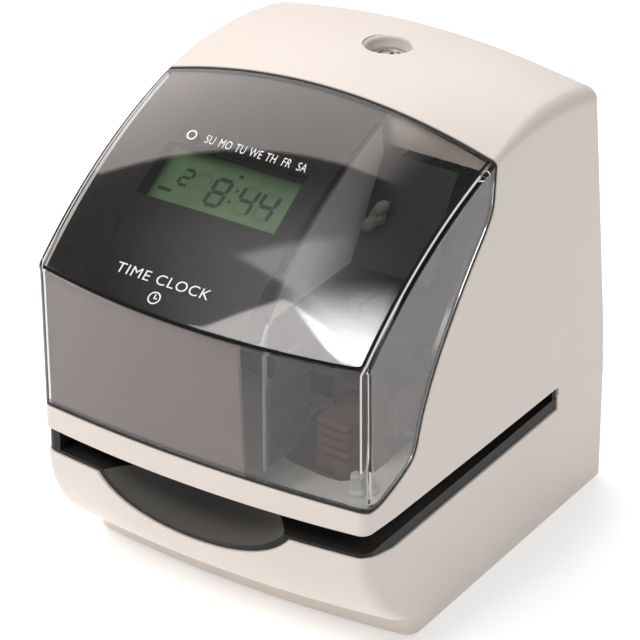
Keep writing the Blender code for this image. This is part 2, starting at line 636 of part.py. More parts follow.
def make_belt(rubber, brass, steel, dark):
    left, right = PULLEY_X

    def loop(radius):
        points = []
        for x, start in ((right, -90.0), (left, 90.0)):
            for i in range(13):
                a = math.radians(start + 15.0 * i)
                points.append((x + radius * math.cos(a), BELT_Y + radius * math.sin(a)))
        return points

    belt = prism("drive_belt", loop(PULLEY_RADIUS + 1.3), BELT_Z, BELT_Z + 5.0, 'Z', rubber)
    boolean(belt, cutter(prism("belt_inside", loop(PULLEY_RADIUS + GAP), 90.0, 110.0, 'Z')))
    for tag, x, bore in (("drive_pulley", left, 1.9), ("idler_pulley", right, 2.4)):
        pulley = smooth(lathe(tag, [(7.0, BELT_Z - 0.4), (7.0, BELT_Z + 5.6)], (x, BELT_Y), brass))
        boolean(pulley, cutter(cylinder(tag + "_bore", (x, BELT_Y), bore, 90.0, 110.0, 'Z', count=16)))
    outline = [(11.2, 70.2), (12.0, 71.0), (12.0, 95.6), (11.4, 96.4), (4.0, 96.4), (4.0, 97.2), (1.5, 97.2),
               (1.5, 104.4)]
    motor = lathe("drive_motor", outline, (left, BELT_Y), dark)
    smooth(motor)
    smooth(lathe("idler_pin", [(2.0, 97.0), (2.0, 104.6)], (right, BELT_Y), steel, count=16))
    box("pulley_bridge", (-61.6, 61.6), (2.0, 22.0), (105.0, 106.6), steel)


def make_ribbon(black, ribbon_red, grey):
    case = prism("ribbon_cassette", rounded((6.0, 58.0), (-52.0, 8.0), 5.0), *CASSETTE_Z, 'Z', black)
    bevel(case, 1.2)
    (left, right), high = RIBBON_X, CASSETTE_Z[0] - GAP
    low, thick = 60.4, 0.5
    run = [(left, high), (left, low), (right, low), (right, high), (right - thick, high),
           (right - thick, low + thick), (left + thick, low + thick), (left + thick, high)]
    prism("ink_ribbon", run, -49.0, -36.0, 'Y', ribbon_red)
    top = CASSETTE_Z[1]
    knob = lathe("ribbon_knob", [(6.6, top + 0.4), (7.0, top + 1.0), (7.0, top + 5.0), (6.2, top + 5.8)],
                 KNOB_CENTRE, grey, count=28)
    x, y = KNOB_CENTRE
    boolean(knob, cutter(box("knob_slot", (x - 1.0, x + 1.0), (y - 10.0, y + 10.0), (top + 4.0, top + 9.0))))


def lookup(table, value):
    """Straight-line interpolation in (input, output) pairs sorted by input."""
    if value <= table[0][0]:
        return table[0][1]
    for (a, low), (b, high) in zip(table, table[1:]):
        if value <= b:
            return low + (high - low) * (value - a) / (b - a)
    return table[-1][1]


def make_divider(grey, black):
    """Wall between the display's side and the mechanism's side, and the sloping shroud behind the cassette."""
    profile = cover_profile(1.0 - (DIVIDER_X[0] / CROWN_HALF) ** 2)
    (back_y, back_z), (corner_y, corner_z) = DIVIDER_BACK
    depths = [lookup(DIVIDER_DEPTH, z) for _, z in profile]
    front = [p for p in inset(profile, depths) if DIVIDER_DEPTH[0][0] < p[1] and p[0] < back_y]
    rear = inset(profile, [d + DIVIDER_STRIP for d in depths])
    strip = [p for p in rear if DIVIDER_DEPTH[0][0] < p[1] < corner_z - 2.0 and p[0] < corner_y]
    foot = DIVIDER_DEPTH[0][0]
    outline = [(front[0][0], foot)] + front + [(back_y, back_z), (corner_y, corner_z)]
    outline += [(strip[-1][0] + 2.0, corner_z)] + strip[::-1] + [(strip[0][0], foot)]
    prism("divider_wall", outline, DIVIDER_X[0], DIVIDER_X[1], 'X', grey)
    lean = Vector((back_z - corner_z, corner_y - back_y)).normalized() * SHROUD_THICK
    shroud = [(corner_y, corner_z), (corner_y + lean.x, corner_z + lean.y), (back_y + lean.x, back_z + lean.y),
              (back_y, back_z)]
    prism("mechanism_shroud", shroud, DIVIDER_X[1] + GAP, 61.0, 'X', black)


def make_lever(grey, steel):
    blade = [(42.6, 78.4), (49.4, 78.4), (49.4, 71.0), (47.4, 57.4), (44.6, 57.4), (42.6, 71.0)]
    lever = prism("card_lever", blade, 0.0, 8.0, 'X', grey)
    boolean(lever, cutter(cylinder("lever_bore", (LEVER_Y, LEVER_Z), 1.6, -5.0, 15.0, 'X', count=16)))
    smooth(cylinder("lever_pin", (LEVER_Y, LEVER_Z), 1.2, -10.0, 18.0, 'X', steel, count=16))


def make_catch(steel):
    """Bracket on the chassis whose hook the lock's cam turns under."""
    catch = box("lock_catch", (14.0, 30.0), (44.4, 59.6), (150.6, 152.0), steel)
    boolean(catch, cutter(box("catch_post", (28.0, 30.0), (46.0, 59.6), (151.0, 165.0))), 'UNION')
    boolean(catch, cutter(box("catch_hook", (14.0, 29.0), (46.0, 59.6), (163.4, 165.0))), 'UNION')


def main():
    clear_scene()
    cream = material("cream_plastic", (0.80, 0.75, 0.68), 0.5)
    black = material("black_plastic", (0.015, 0.015, 0.016), 0.45)
    smoke = material("smoked_clear", (0.20, 0.18, 0.17), 0.08, transmission=0.8)
    grey = material("grey_plastic", (0.32, 0.32, 0.31), 0.5)
    green = material("lcd_green", (0.13, 0.22, 0.09), 0.25)
    pcb = material("circuit_green", (0.02, 0.12, 0.05), 0.5)
    blue = material("battery_sleeve", (0.03, 0.10, 0.30), 0.5)
    steel = material("zinc_steel", (0.55, 0.56, 0.57), 0.35, metallic=1.0)
    brass = material("brass", (0.70, 0.50, 0.20), 0.35, metallic=1.0)
    dark = material("dark_metal", (0.10, 0.10, 0.11), 0.45, metallic=0.8)
    rubber = material("rubber", (0.02, 0.02, 0.02), 0.8)
    red = material("ribbon_red", (0.20, 0.03, 0.03), 0.7)

    make_base(cream)
    make_table(black)
    make_bottom_plate(steel)
    make_feet(rubber, steel)
    make_inlet(black, steel)
    make_cover(cream, smoke, black, steel, brass)
    make_lock(steel)
    make_chassis(steel)
    make_throat(black, grey, rubber)
    make_display(black, grey, green, pcb)
    make_electronics(pcb, blue, steel, grey)
    make_carriage(steel, black, dark)
    make_belt(rubber, brass, steel, dark)
    make_ribbon(black, red, grey)
    make_divider(grey, black)
    make_lever(grey, steel)
    make_catch(steel)


main()
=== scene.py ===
"""Looks of the punch time clock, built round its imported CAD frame.

The constants are millimetres in the frame's own axes: +Z up, -Y the front, +X the slot's open end.
Mesh helpers turn them into metres.
"""
import math

import bmesh
import bpy
from mathutils import Matrix, Vector
from mathutils.bvhtree import BVHTree


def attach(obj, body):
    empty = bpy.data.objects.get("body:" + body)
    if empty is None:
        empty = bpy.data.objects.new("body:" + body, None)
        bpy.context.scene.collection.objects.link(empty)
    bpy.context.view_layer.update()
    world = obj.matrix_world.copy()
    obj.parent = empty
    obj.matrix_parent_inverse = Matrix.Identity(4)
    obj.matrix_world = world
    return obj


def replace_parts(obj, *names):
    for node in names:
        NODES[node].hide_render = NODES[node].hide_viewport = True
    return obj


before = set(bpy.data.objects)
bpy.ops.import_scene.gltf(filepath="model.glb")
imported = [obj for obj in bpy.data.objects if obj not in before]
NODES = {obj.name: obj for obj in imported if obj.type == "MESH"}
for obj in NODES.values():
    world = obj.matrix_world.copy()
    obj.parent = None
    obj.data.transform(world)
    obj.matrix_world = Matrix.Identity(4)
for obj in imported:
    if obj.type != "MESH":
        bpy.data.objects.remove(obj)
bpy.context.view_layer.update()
MM = 0.001

# ---------------------------------------------------------------- dimensions shared with the CAD (mm)
HALF_WIDTH = 75.0
LIP_Z, LIP_Z_REAR, SEAM_Z = 64.3, 60.3, 57.3
SLOT_END_Y = 56.0
TABLE_TOP = 55.6
RIM_FRONT, RIM_SIDE = 54.0, 50.3
BACK_Y = 95.4
BASE_BOTTOM, BASE_TOP = 1.5, 70.0
WALL, BASE_WALL = 2.6, 3.0
GAP, SEAM_GAP = 0.3, 0.08
SEAL = 1.5                  # room for the seal between the window and the cover
SIDE_KEYS = {"lip": (-85.6, 64.3), "crease": (-86.5, 135.5), "brow": (2.0, 184.0), "rear": (77.0, 184.6)}
MID_KEYS = {"lip": (-90.5, 64.3), "crease": (-95.4, 135.5), "brow": (2.0, 195.0), "rear": (77.0, 191.5)}
SLOPE_SAG = (6.2, 8.0)
TOP_SAG = (5.5, 3.2)
BACK_SHOULDER, BACK_KINK = (82.4, 176.0), (94.6, 70.0)
BACK_FOOT = (94.9, SEAM_Z)
BASE_FRONT = ((54.5, -85.6, -90.3), (47.0, -85.0, -89.6), (40.0, -83.2, -87.8), (32.5, -79.8, -84.4),
              (25.0, -74.6, -79.4), (18.0, -67.6, -73.0), (13.0, -60.5, -66.0))
PLINTH = ((12.0, -54.5, -59.5), (BASE_BOTTOM, -52.5, -57.5))
WINDOW_EDGE = ((2.0, 230.0), (2.0, 172.0), (1.4, 165.0), (-2.6, 158.5), (-14.0, 146.5), (-24.0, 135.0),
               (-38.0, 116.5), (-46.4, 101.0), (-49.4, 93.0), (-51.6, 86.0), (-55.0, 82.2),
               (-66.0, 77.8), (-76.0, 75.2), (-83.0, 75.4), (-90.5, 77.2), (-130.0, 77.2))
LOCK = (0.0, 46.0)
LOCK_FACE_Z = 189.5
SCOOP_CENTRE, SCOOP_RADII = (-2.5, -100.0, 66.0), (48.9, 36.0, 27.2)
LCD_CENTRE, LCD_TILT = (-18.5, -39.2, 161.85), math.radians(33.0)
LCD_OPENING = ((-29.5, 33.8), (-13.9, 10.8))
PANEL_DEPTH, PANEL_THICK = 3.0, 1.8
PANEL_X, PANEL_TAPER = (-71.0, 26.6), 4.2
DIVIDER_X = (27.0, 28.2)
DIVIDER_DEPTH = ((77.0, 8.7), (134.0, 12.0), (148.0, 7.3), (160.0, 4.2), (170.0, 3.8))
DIVIDER_BACK = ((-1.5, 176.6), (-24.2, 139.1))
DIVIDER_STRIP = 1.6
CROWN_HALF = 71.4


# ---------------------------------------------------------------- small helpers
def mix(a, b, weight=0.5):
    return tuple(u + (v - u) * weight for u, v in zip(a, b))


def ramp(value, low, high):
    """0 below low, 1 above high, smooth between."""
    t = min(max((value - low) / (high - low), 0.0), 1.0)
    return t * t * (3.0 - 2.0 * t)


def lookup(table, value):
    """Straight-line interpolation in (input, output) pairs sorted by input."""
    if value <= table[0][0]:
        return table[0][1]
    for (a, low), (b, high) in zip(table, table[1:]):
        if value <= b:
            return low + (high - low) * (value - a) / (b - a)
    return table[-1][1]


def arc_point(start, end, sag, t):
    """Point on the circular arc that rises by sag over its chord; t runs from 0 to 1."""
    (ay, az), (by, bz) = start, end
    chord = math.hypot(by - ay, bz - az)
    radius = (chord * chord / 4.0 + sag * sag) / (2.0 * sag)
    half = math.asin(chord / 2.0 / radius)
    along = ((by - ay) / chord, (bz - az) / chord)
    up = (-along[1], along[0])
    a = half * (2.0 * t - 1.0)
    rise = radius * math.cos(a) - (radius - sag)
    return ((ay + by) / 2 + radius * math.sin(a) * along[0] + rise * up[0],
            (az + bz) / 2 + radius * math.sin(a) * along[1] + rise * up[1])


def bend(a, corner, b, count):
    """Points between a and b on a quadratic curve that is pulled towards the corner."""
    points = []
    for i in range(1, count):
        t = i / count
        points.append(mix(mix(a, corner, t), mix(corner, b, t), t))
    return points


def chaikin(points, rounds=3):
    """Round the corners of an open line and keep its ends."""
    for _ in range(rounds):
        cut = [points[0]]
        for a, b in zip(points, points[1:]):
            cut += [mix(a, b, 0.25), mix(a, b, 0.75)]
        points = cut + [points[-1]]
    return points


def inset(points, distances):
    """Move each point of an open outline inwards, to its right-hand side when it runs clockwise."""
    moved = []
    last = len(points) - 1
    for i, (y, z) in enumerate(points):
        before, after = points[max(i - 1, 0)], points[min(i + 1, last)]
        first = Vector((y - before[0], z - before[1]))
        second = Vector((after[0] - y, after[1] - z))
        if i == 0:
            first = second
        if i == last:
            second = first
        first.normalize()
        second.normalize()
        normal = Vector((first.y + second.y, -(first.x + second.x)))
        normal.normalize()
        reach = distances[i] / max(normal.dot(Vector((first.y, -first.x))), 0.5)
        moved.append((y + normal.x * reach, z + normal.y * reach))
    moved[0] = (moved[0][0], points[0][1])
    moved[last] = (moved[last][0], points[last][1])
    return moved


# ---------------------------------------------------------------- mesh helpers
def mesh_piece(name, points, faces, mat=None, body=None):
    mesh = bpy.data.meshes.new(name)
    mesh.from_pydata([(x * MM, y * MM, z * MM) for x, y, z in points], [], faces)
    mesh.update()
    obj = bpy.data.objects.new(name, mesh)
    bpy.context.scene.collection.objects.link(obj)
    if mat:
        mesh.materials.append(mat)
    return settle(obj, body) if body else obj


def settle(obj, body):
    """Let a finished piece move with its body."""
    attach(obj, body)
    return obj


def smooth(obj, angle=35.0):
    obj.data.shade_smooth()
    obj.data.set_sharp_from_angle(angle=math.radians(angle))
    return obj


def bake(obj):
    """Replace the object's mesh by what its modifiers make of it."""
    graph = bpy.context.evaluated_depsgraph_get()
    graph.update()
    mesh = bpy.data.meshes.new_from_object(obj.evaluated_get(graph))
    old = obj.data
    obj.modifiers.clear()
    obj.data = mesh
    bpy.data.meshes.remove(old)
    mesh.name = obj.name
    return obj


def boolean(obj, tool, operation='DIFFERENCE'):
    """Cut obj by tool, or join them, at once; the tool is used up."""
    mod = obj.modifiers.new("boolean", 'BOOLEAN')
    mod.operation, mod.solver, mod.object = operation, 'EXACT', tool
    bake(obj)
    bpy.data.objects.remove(tool, do_unlink=True)
    return obj


def thicken(obj, wall):
    """Give an open surface its wall; its rims get a material slot of their own until they are rounded."""
    obj.data.materials.append(obj.data.materials[0])
    solid = obj.modifiers.new("wall", 'SOLIDIFY')
    solid.thickness, solid.offset, solid.material_offset_rim = wall * MM, -1.0, 1
    return bake(obj)


def round_rims(obj, edge):
    """Round the edges between a thickened surface and its rims, except along the seam behind the slot."""
    def at_seam(e):
        return all(abs(v.co.z / MM - SEAM_Z) < 0.5 and v.co.y / MM > SLOT_END_Y for v in e.verts)

    work = bmesh.new()
    work.from_mesh(obj.data)
    rims = [e for e in work.edges if sum(f.material_index for f in e.link_faces) == 1 and not at_seam(e)]
    bmesh.ops.bevel(work, geom=rims, offset=edge * MM, segments=3, profile=0.5, affect='EDGES',
                    clamp_overlap=False)
    for face in work.faces:
        face.material_index = 0
    work.to_mesh(obj.data)
    work.free()
    obj.data.materials.pop()
    return obj


def paint(mesh, *mats):
    mesh.materials.clear()
    for mat in mats:
        mesh.materials.append(mat)


def weigh(obj):
    mod = obj.modifiers.new("normals", 'WEIGHTED_NORMAL')
    mod.keep_sharp, mod.weight = True, 60
    return obj


def signed_area(outline):
    return sum(ax * by - bx * ay for (ax, ay), (bx, by) in zip(outline, outline[1:] + outline[:1])) / 2.0


def prism(name, outline, low, high, axis, mat=None):
    """Extrude a flat outline along an axis. The outline is (y, z) for X, (x, z) for Y, (x, y) for Z."""
    outline = list(outline)
    turn = signed_area(outline) > 0
    if axis == 'Y':
        turn = not turn
    if not turn:
        outline.reverse()
    place = {'X': lambda u, v, w: (w, u, v),
             'Y': lambda u, v, w: (u, w, v),
             'Z': lambda u, v, w: (u, v, w)}[axis]
    n = len(outline)
    points = [place(u, v, low) for u, v in outline] + [place(u, v, high) for u, v in outline]
    faces = [tuple(range(n))[::-1], tuple(range(n, 2 * n))]
    faces += [(i, (i + 1) % n, n + (i + 1) % n, n + i) for i in range(n)]
    return mesh_piece(name, points, faces, mat)


def box(name, x, y, z, mat=None):
    return prism(name, [(x[0], y[0]), (x[1], y[0]), (x[1], y[1]), (x[0], y[1])], z[0], z[1], 'Z', mat)


def circle(centre, radius, count=32):
    return [(centre[0] + radius * math.cos(2.0 * math.pi * i / count),
             centre[1] + radius * math.sin(2.0 * math.pi * i / count)) for i in range(count)]


def lathe(name, profile, centre, mat=None, count=64, closed=True):
    """Turn (radius, z) points about a vertical line; a closed profile makes a ring, an open one is capped."""
    rings = len(profile)
    points = []
    for radius, z in profile:
        points += [(x, y, z) for x, y in circle(centre, radius, count)]
    faces = []
    for k in range(rings if closed else rings - 1):
        for i in range(count):
            j, up = (i + 1) % count, (k + 1) % rings
            faces.append((k * count + i, k * count + j, up * count + j, up * count + i))
    if not closed:
        faces.append(tuple(range(count))[::-1])
        faces.append(tuple(range((rings - 1) * count, rings * count)))
    return mesh_piece(name, points, faces, mat)


def ellipsoid(name, centre, radii, rings=40, count=96):
    points = [(centre[0], centre[1], centre[2] - radii[2])]
    for k in range(1, rings):
        lat = -math.pi / 2.0 + math.pi * k / rings
        for i in range(count):
            lon = 2.0 * math.pi * i / count
            points.append((centre[0] + radii[0] * math.cos(lat) * math.cos(lon),
                           centre[1] + radii[1] * math.cos(lat) * math.sin(lon),
                           centre[2] + radii[2] * math.sin(lat)))
    points.append((centre[0], centre[1], centre[2] + radii[2]))
    faces = []
    for i in range(count):
        j = (i + 1) % count
        faces.append((0, 1 + j, 1 + i))
        faces.append((len(points) - 1, 1 + (rings - 2) * count + i, 1 + (rings - 2) * count + j))
        for k in range(rings - 2):
            a = 1 + k * count
            faces.append((a + i, a + j, a + count + j, a + count + i))
    return mesh_piece(name, points, faces)


# ---------------------------------------------------------------- curved shells
ACROSS, EDGE_STEPS = 44, 7  # grid columns over the crown, and round each edge to its side wall


def draw_in(points, distances):
    """Move the points of the front backwards and those of the back forwards, and keep their heights."""
    return [(y + d if y < 0.0 else y - d, z) for (y, z), d in zip(points, distances)]


def shell_grid(rows_of, radius_of, depth=0.0, across=ACROSS, shift=inset):
    """Columns of surface points: a crowned strip with round edges that end on the side walls."""
    half = HALF_WIDTH - depth

    def column(fraction, side, angle):
        pull = 5.0 * (1.0 - math.cos(angle))
        rows = rows_of(1.0 - fraction * fraction, pull)
        radii = [max(radius_of(*p) - depth, 1.0) for p in rows]
        rows = shift(rows, [depth + r * (1.0 - math.cos(angle)) for r in radii])
        if side:
            xs = [side * (half - r + r * math.sin(angle)) for r in radii]
        else:
            xs = [fraction * (half - r) for r in radii]
        return [(x, y, z) for x, (y, z) in zip(xs, rows)]

    turns = [math.pi / 2.0 * k / EDGE_STEPS for k in range(1, EDGE_STEPS + 1)]
    grid = [column(1.0, -1.0, a) for a in reversed(turns)]
    grid += [column(2.0 * i / across - 1.0, 0.0, 0.0) for i in range(across + 1)]
    grid += [column(1.0, 1.0, a) for a in turns]
    return grid


def skin(name, grid, spans, wall_of, mat):
    """Open surface over the grid's rows in each span, with a flat wall on both sides."""
    places, points, faces = {}, [], []

    def add(corners):
        ids = []
        for p in corners:
            key = tuple(round(v, 3) for v in p)
            if key not in places:
                places[key] = len(points)
                points.append(p)
            if places[key] not in ids:
                ids.append(places[key])
        if len(ids) > 2:
            faces.append(ids)

    for low, high in spans:
        for left, right in zip(grid, grid[1:]):
            for i in range(low, high):
                add([right[i], right[i + 1], left[i + 1], left[i]])
    for column, turn in ((grid[0], 1), (grid[-1], -1)):
        wall = wall_of([(y, z) for _, y, z in column])
        add([(column[0][0], y, z) for y, z in wall][::turn])
    return mesh_piece(name, points, faces, mat)


def closed_loft(name, grid):
    """Solid inside the grid, closed across its first and last rows and at both sides."""
    size = len(grid[0])
    points = [p for column in grid for p in column]
    faces = []
    for c in range(len(grid) - 1):
        for i in range(size):
            j = (i + 1) % size
            faces.append(((c + 1) * size + i, (c + 1) * size + j, c * size + j, c * size + i))
    faces.append(tuple(range(size)))
    faces.append(tuple(range((len(grid) - 1) * size, len(grid) * size))[::-1])
    return mesh_piece(name, points, faces)


# ---------------------------------------------------------------- the cover and window surface
UPRIGHT_ROWS = 8            # rows from the lip to just below the bend
BAND_ROW, FOOT_ROW = 2, 3   # top of the cream lip band, and the window's lower edge
BEND_STEPS, SLOPE_STEPS, TOP_STEPS, REAR_STEPS = 7, 36, 24, 8
SLOPE_ROW = UPRIGHT_ROWS + BEND_STEPS - 1
BROW_ROW = SLOPE_ROW + SLOPE_STEPS - 1
TOP_ROW = BROW_ROW + 1      # front edge of the cream top
WINDOW_BOTTOM = ((-96.0, 77.2), (-90.5, 77.2), (-83.0, 75.4), (-76.0, 75.2))


def cover_rows(crown, pull=0.0):
    """Side view of the cover at one station, from the lip over the window and the top to the back seam."""
    lip, crease, brow, rear = (mix(side, MID_KEYS[key], crown) for key, side in SIDE_KEYS.items())
    slope_sag = SLOPE_SAG[0] + (SLOPE_SAG[1] - SLOPE_SAG[0]) * crown
    top_sag = TOP_SAG[0] + (TOP_SAG[1] - TOP_SAG[0]) * crown
    edge = lookup(WINDOW_BOTTOM, lip[0] + pull)
    rows = []
    for z in (LIP_Z, LIP_Z + 1.2, edge - SEAL, edge, 92.0, 108.0, 124.0):
        rows.append(mix(lip, crease, (z - LIP_Z) / (crease[1] - LIP_Z)))
    below, above = mix(lip, crease, 0.975), arc_point(crease, brow, slope_sag, 0.019)
    rows.append(below)
    rows += bend(below, crease, above, BEND_STEPS)
    rows += [arc_point(crease, brow, slope_sag, i / SLOPE_STEPS) for i in range(1, SLOPE_STEPS + 1)]
    rows += [arc_point(brow, rear, top_sag, 0.02)]
    rows += [arc_point(brow, rear, top_sag, i / TOP_STEPS) for i in range(1, TOP_STEPS + 1)]
    rows += [arc_point(rear, BACK_SHOULDER, 1.9, i / REAR_STEPS) for i in range(1, REAR_STEPS + 1)]
    return rows + [mix(BACK_SHOULDER, BACK_KINK, 0.5), BACK_KINK, BACK_FOOT]


def cover_row(crown, k, depth):
    """One point of the side view, at a depth under the surface."""
    near = cover_rows(crown)[k - 1:k + 2]
    return inset(near, [depth] * 3)[1]


def cover_radius(y, z):
    """Radius of the edge to the side wall: tight along the window, soft on the top."""
    if z < 138.0:
        return 5.0 - 2.2 * ramp(z, 133.0, 138.0) if y < 0.0 else 4.0
    return 2.8 + 4.2 * min(max((y - 4.0) / 36.0, 0.0), 1.0) - 3.0 * ramp(y, 77.0, 84.0)


def window_curve(grow):
    """The window's rear edge on the side wall, from the top down to the front, widened by grow."""
    return inset(list(WINDOW_EDGE), [-grow] * len(WINDOW_EDGE))[1:13]


def cover_wall(rows):
    curve = chaikin([rows[TOP_ROW]] + window_curve(SEAL) + [rows[BAND_ROW]])[1:-1]
    bottom = [(SLOT_END_Y + 0.5, SEAM_Z), (SLOT_END_Y + 0.5, LIP_Z_REAR), (0.0, LIP_Z - 2.9),
              (-66.0, LIP_Z - 1.2)]
    return rows[:BAND_ROW + 1] + curve[::-1] + rows[TOP_ROW:] + bottom


def window_wall(rows):
    curve = chaikin([rows[BROW_ROW]] + window_curve(0.0) + [rows[FOOT_ROW]])[1:-1]
    return rows[FOOT_ROW:BROW_ROW + 1] + curve


def build_cover(looks):
    grid = shell_grid(cover_rows, cover_radius)
    last = len(grid[0]) - 1
    cover = skin("cover_shell", grid, [(0, BAND_ROW), (TOP_ROW, last)], cover_wall, looks["cream"])
    thicken(cover, WALL)
    flare = [(6.8, 170.0), (6.8, LOCK_FACE_Z), (8.8, LOCK_FACE_Z), (9.0, 193.9), (9.15, 194.5), (9.6, 194.95),
             (10.4, 195.25), (10.6, 199.0)]
    boolean(cover, lathe("well_cutter", flare, LOCK, closed=False))
    round_rims(cover, 0.45)
    smooth(cover, 52.0)
    weigh(cover)
    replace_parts(settle(cover, "cover"), "top_cover")

    inner = shell_grid(cover_rows, cover_radius, WALL + 0.04)
    rib = closed_loft("cover_rib", inner)
    boolean(rib, box("rib_keep", (-69.0, 69.0), (4.6, 7.0), (176.5, 210.0)), 'INTERSECT')
    paint(rib.data, looks["cream"])
    settle(rib, "cover")

    well = [(6.8, LOCK_FACE_Z - 2.0), (10.8, LOCK_FACE_Z - 2.0), (10.8, 193.4), (9.02, 193.4),
            (8.82, LOCK_FACE_Z + 0.3), (8.5, LOCK_FACE_Z), (6.8, LOCK_FACE_Z)]
    settle(smooth(lathe("lock_well", well, LOCK, looks["cream"]), 50.0), "cover")

    window = skin("window_pane", grid, [(FOOT_ROW, BROW_ROW)], window_wall, looks["smoke"])
    round_rims(thicken(window, WALL), 0.5)
    smooth(window, 52.0)
    weigh(window)
    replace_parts(settle(window, "cover"), "window")
    return grid


def layer(name, x_range, rows, depths, mat, steps=36, taper=0.0):
    """Curved plate under the cover between two depths, over a span of rows; taper narrows its first row."""
    first, last = rows
    span = last - first + 1
    narrow = [taper * (last - k) / (span - 1) for k in range(first, last + 1)]
    points, faces = [], []
    for depth in depths:
        for i in range(steps + 1):
            for k in range(first, last + 1):
                x = x_range[0] + (x_range[1] - narrow[k - first] - x_range[0]) * i / steps
                points.append((x, *cover_row(1.0 - (x / CROWN_HALF) ** 2, k, depth)))
    below = (steps + 1) * span
    for i in range(steps):
        for k in range(span - 1):
            a = i * span + k
            faces.append((a + span, a + span + 1, a + 1, a))
            faces.append((below + a, below + a + 1, below + a + span + 1, below + a + span))
        for k, turn in ((0, 1), (span - 1, -1)):
            a = i * span + k
            faces.append((a, below + a, below + a + span, a + span)[::turn])
    for i, turn in ((0, 1), (steps, -1)):
        for k in range(span - 1):
            a = i * span + k
            faces.append((a, a + 1, below + a + 1, below + a)[::turn])
    return mesh_piece(name, points, faces, mat)


def on_display(obj):
    """Put a piece that was drawn flat about the origin at the display's place and tilt."""
    obj.data.transform(Matrix.Translation(Vector(LCD_CENTRE) * MM) @ Matrix.Rotation(LCD_TILT, 4, 'X'))
    return obj


def build_mask(looks):
    """Black mask with the display's opening under the slope, and the pale screen under the upright."""
    depths = (PANEL_DEPTH, PANEL_DEPTH + PANEL_THICK)
    mask = layer("display_mask", PANEL_X, (UPRIGHT_ROWS, BROW_ROW), depths, looks["mask"], taper=PANEL_TAPER)
    (left, right), (low, high) = LCD_OPENING
    opening = prism("opening", rounded_box((left, right), (low, high), 0.8), -12.0, 20.0, 'Z')
    boolean(mask, on_display(opening))
    boolean(mask, on_display(chamfer_cutter("opening_edge", (left, right), (low, high), 7.0, 20.0)))
    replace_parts(settle(weigh(smooth(mask, 40.0)), "cover"), "display_panel")
    x_range = (PANEL_X[0], PANEL_X[1] - PANEL_TAPER)
    screen = layer("upright_screen", x_range, (1, UPRIGHT_ROWS - 1), depths, looks["screen"])
    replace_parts(settle(weigh(smooth(screen, 40.0)), "cover"), "front_screen")


def rounded_box(x, y, radius, count=6):
    corners = (((x[1] - radius, y[1] - radius), 0.0), ((x[0] + radius, y[1] - radius), 90.0),
               ((x[0] + radius, y[0] + radius), 180.0), ((x[1] - radius, y[0] + radius), 270.0))
    points = []
    for (cx, cy), start in corners:
        for i in range(count + 1):
            a = math.radians(start + 90.0 * i / count)
            points.append((cx + radius * math.cos(a), cy + radius * math.sin(a)))
    return points


def chamfer_cutter(name, x, y, low, high):
    """Block that widens upwards and so cuts a slanted edge round the opening."""
    points = []
    for z in (low, high):
        grow = (z - low) * 0.35
        points += [(x[0] - grow, y[0] - grow, z), (x[1] + grow, y[0] - grow, z),
                   (x[1] + grow, y[1] + grow, z), (x[0] - grow, y[1] + grow, z)]
    faces = [(3, 2, 1, 0), (4, 5, 6, 7), (0, 1, 5, 4), (1, 2, 6, 5), (2, 3, 7, 6), (3, 0, 4, 7)]
    return mesh_piece(name, points, faces)


def build_divider(looks):
    """Thin wall beside the mask; its front edge stands back from the window towards the bend."""
    rows = cover_rows(1.0 - (DIVIDER_X[0] / CROWN_HALF) ** 2)
    foot = DIVIDER_DEPTH[0][0]
    depths = [lookup(DIVIDER_DEPTH, z) for _, z in rows]
    (back_y, _), (corner_y, corner_z) = DIVIDER_BACK
    front = [p for p in inset(rows, depths) if p[1] > foot and p[0] < back_y]
    rear = inset(rows, [d + DIVIDER_STRIP for d in depths])
    strip = [p for p in rear if foot < p[1] < corner_z - 2.0 and p[0] < corner_y]
    outline = [(front[0][0], foot)] + front + list(DIVIDER_BACK)
    outline += [(strip[-1][0] + 2.0, corner_z)] + strip[::-1] + [(strip[0][0], foot)]
    wall = prism("divider", outline, *DIVIDER_X, 'X', looks["wall"])
    wall.data.materials.append(looks["black"])
    for face in wall.data.polygons:
        if abs(face.normal.x) < 0.5 and face.center.z / MM > corner_z:
            face.material_index = 1
    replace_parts(settle(wall, "cover"), "divider_wall")


def build_side_plate(looks):
    """Plate of the printing unit beside the divider, with its three stiffening ribs."""
    x = DIVIDER_X[1] + 0.6
    outline = [(-80.5, 79.0), (-81.5, 122.0), (-54.0, 122.0), (-54.0, 79.0)]
    outline = chaikin(outline + outline[:1], 1)[:-1]
    plate = prism("unit_side_plate", outline, x, x + 1.0, 'X', looks["dark_grey"])
    for i, (z, rise) in enumerate(((84.2, 1.0), (90.2, 2.6), (103.4, 2.0))):
        rib = [(-80.6, z), (-80.6, z + 1.5), (-54.4, z + 1.5 + rise), (-54.4, z + rise)]
        boolean(plate, prism("rib_%d" % i, rib, x + 0.5, x + 2.2, 'X', looks["dark_grey"]), 'UNION')
    settle(smooth(plate, 30.0), "base")


def build_shroud_nut(looks):
    """Wing nut that holds the sloping shroud over the mechanism."""
    turn = Matrix.Translation(Vector((34.6, -14.6, 156.2)) * MM) @ Matrix.Rotation(math.radians(58.0), 4, 'X')
    turn = turn @ Matrix.Rotation(math.radians(55.0), 4, 'Z')
    collar = [(3.2, 0.0), (3.2, 2.2), (2.4, 3.2)]
    nut = lathe("shroud_wing_nut", collar, (0.0, 0.0), looks["dull"], 32, closed=False)
    for side in (-1.0, 1.0):
        wing = ellipsoid("wing", (side * 3.6, side * 0.8, 3.0), (3.6, 2.4, 2.8), 16, 32)
        boolean(nut, wing, 'UNION')
    nut.data.transform(turn)
    settle(smooth(nut, 40.0), "base")


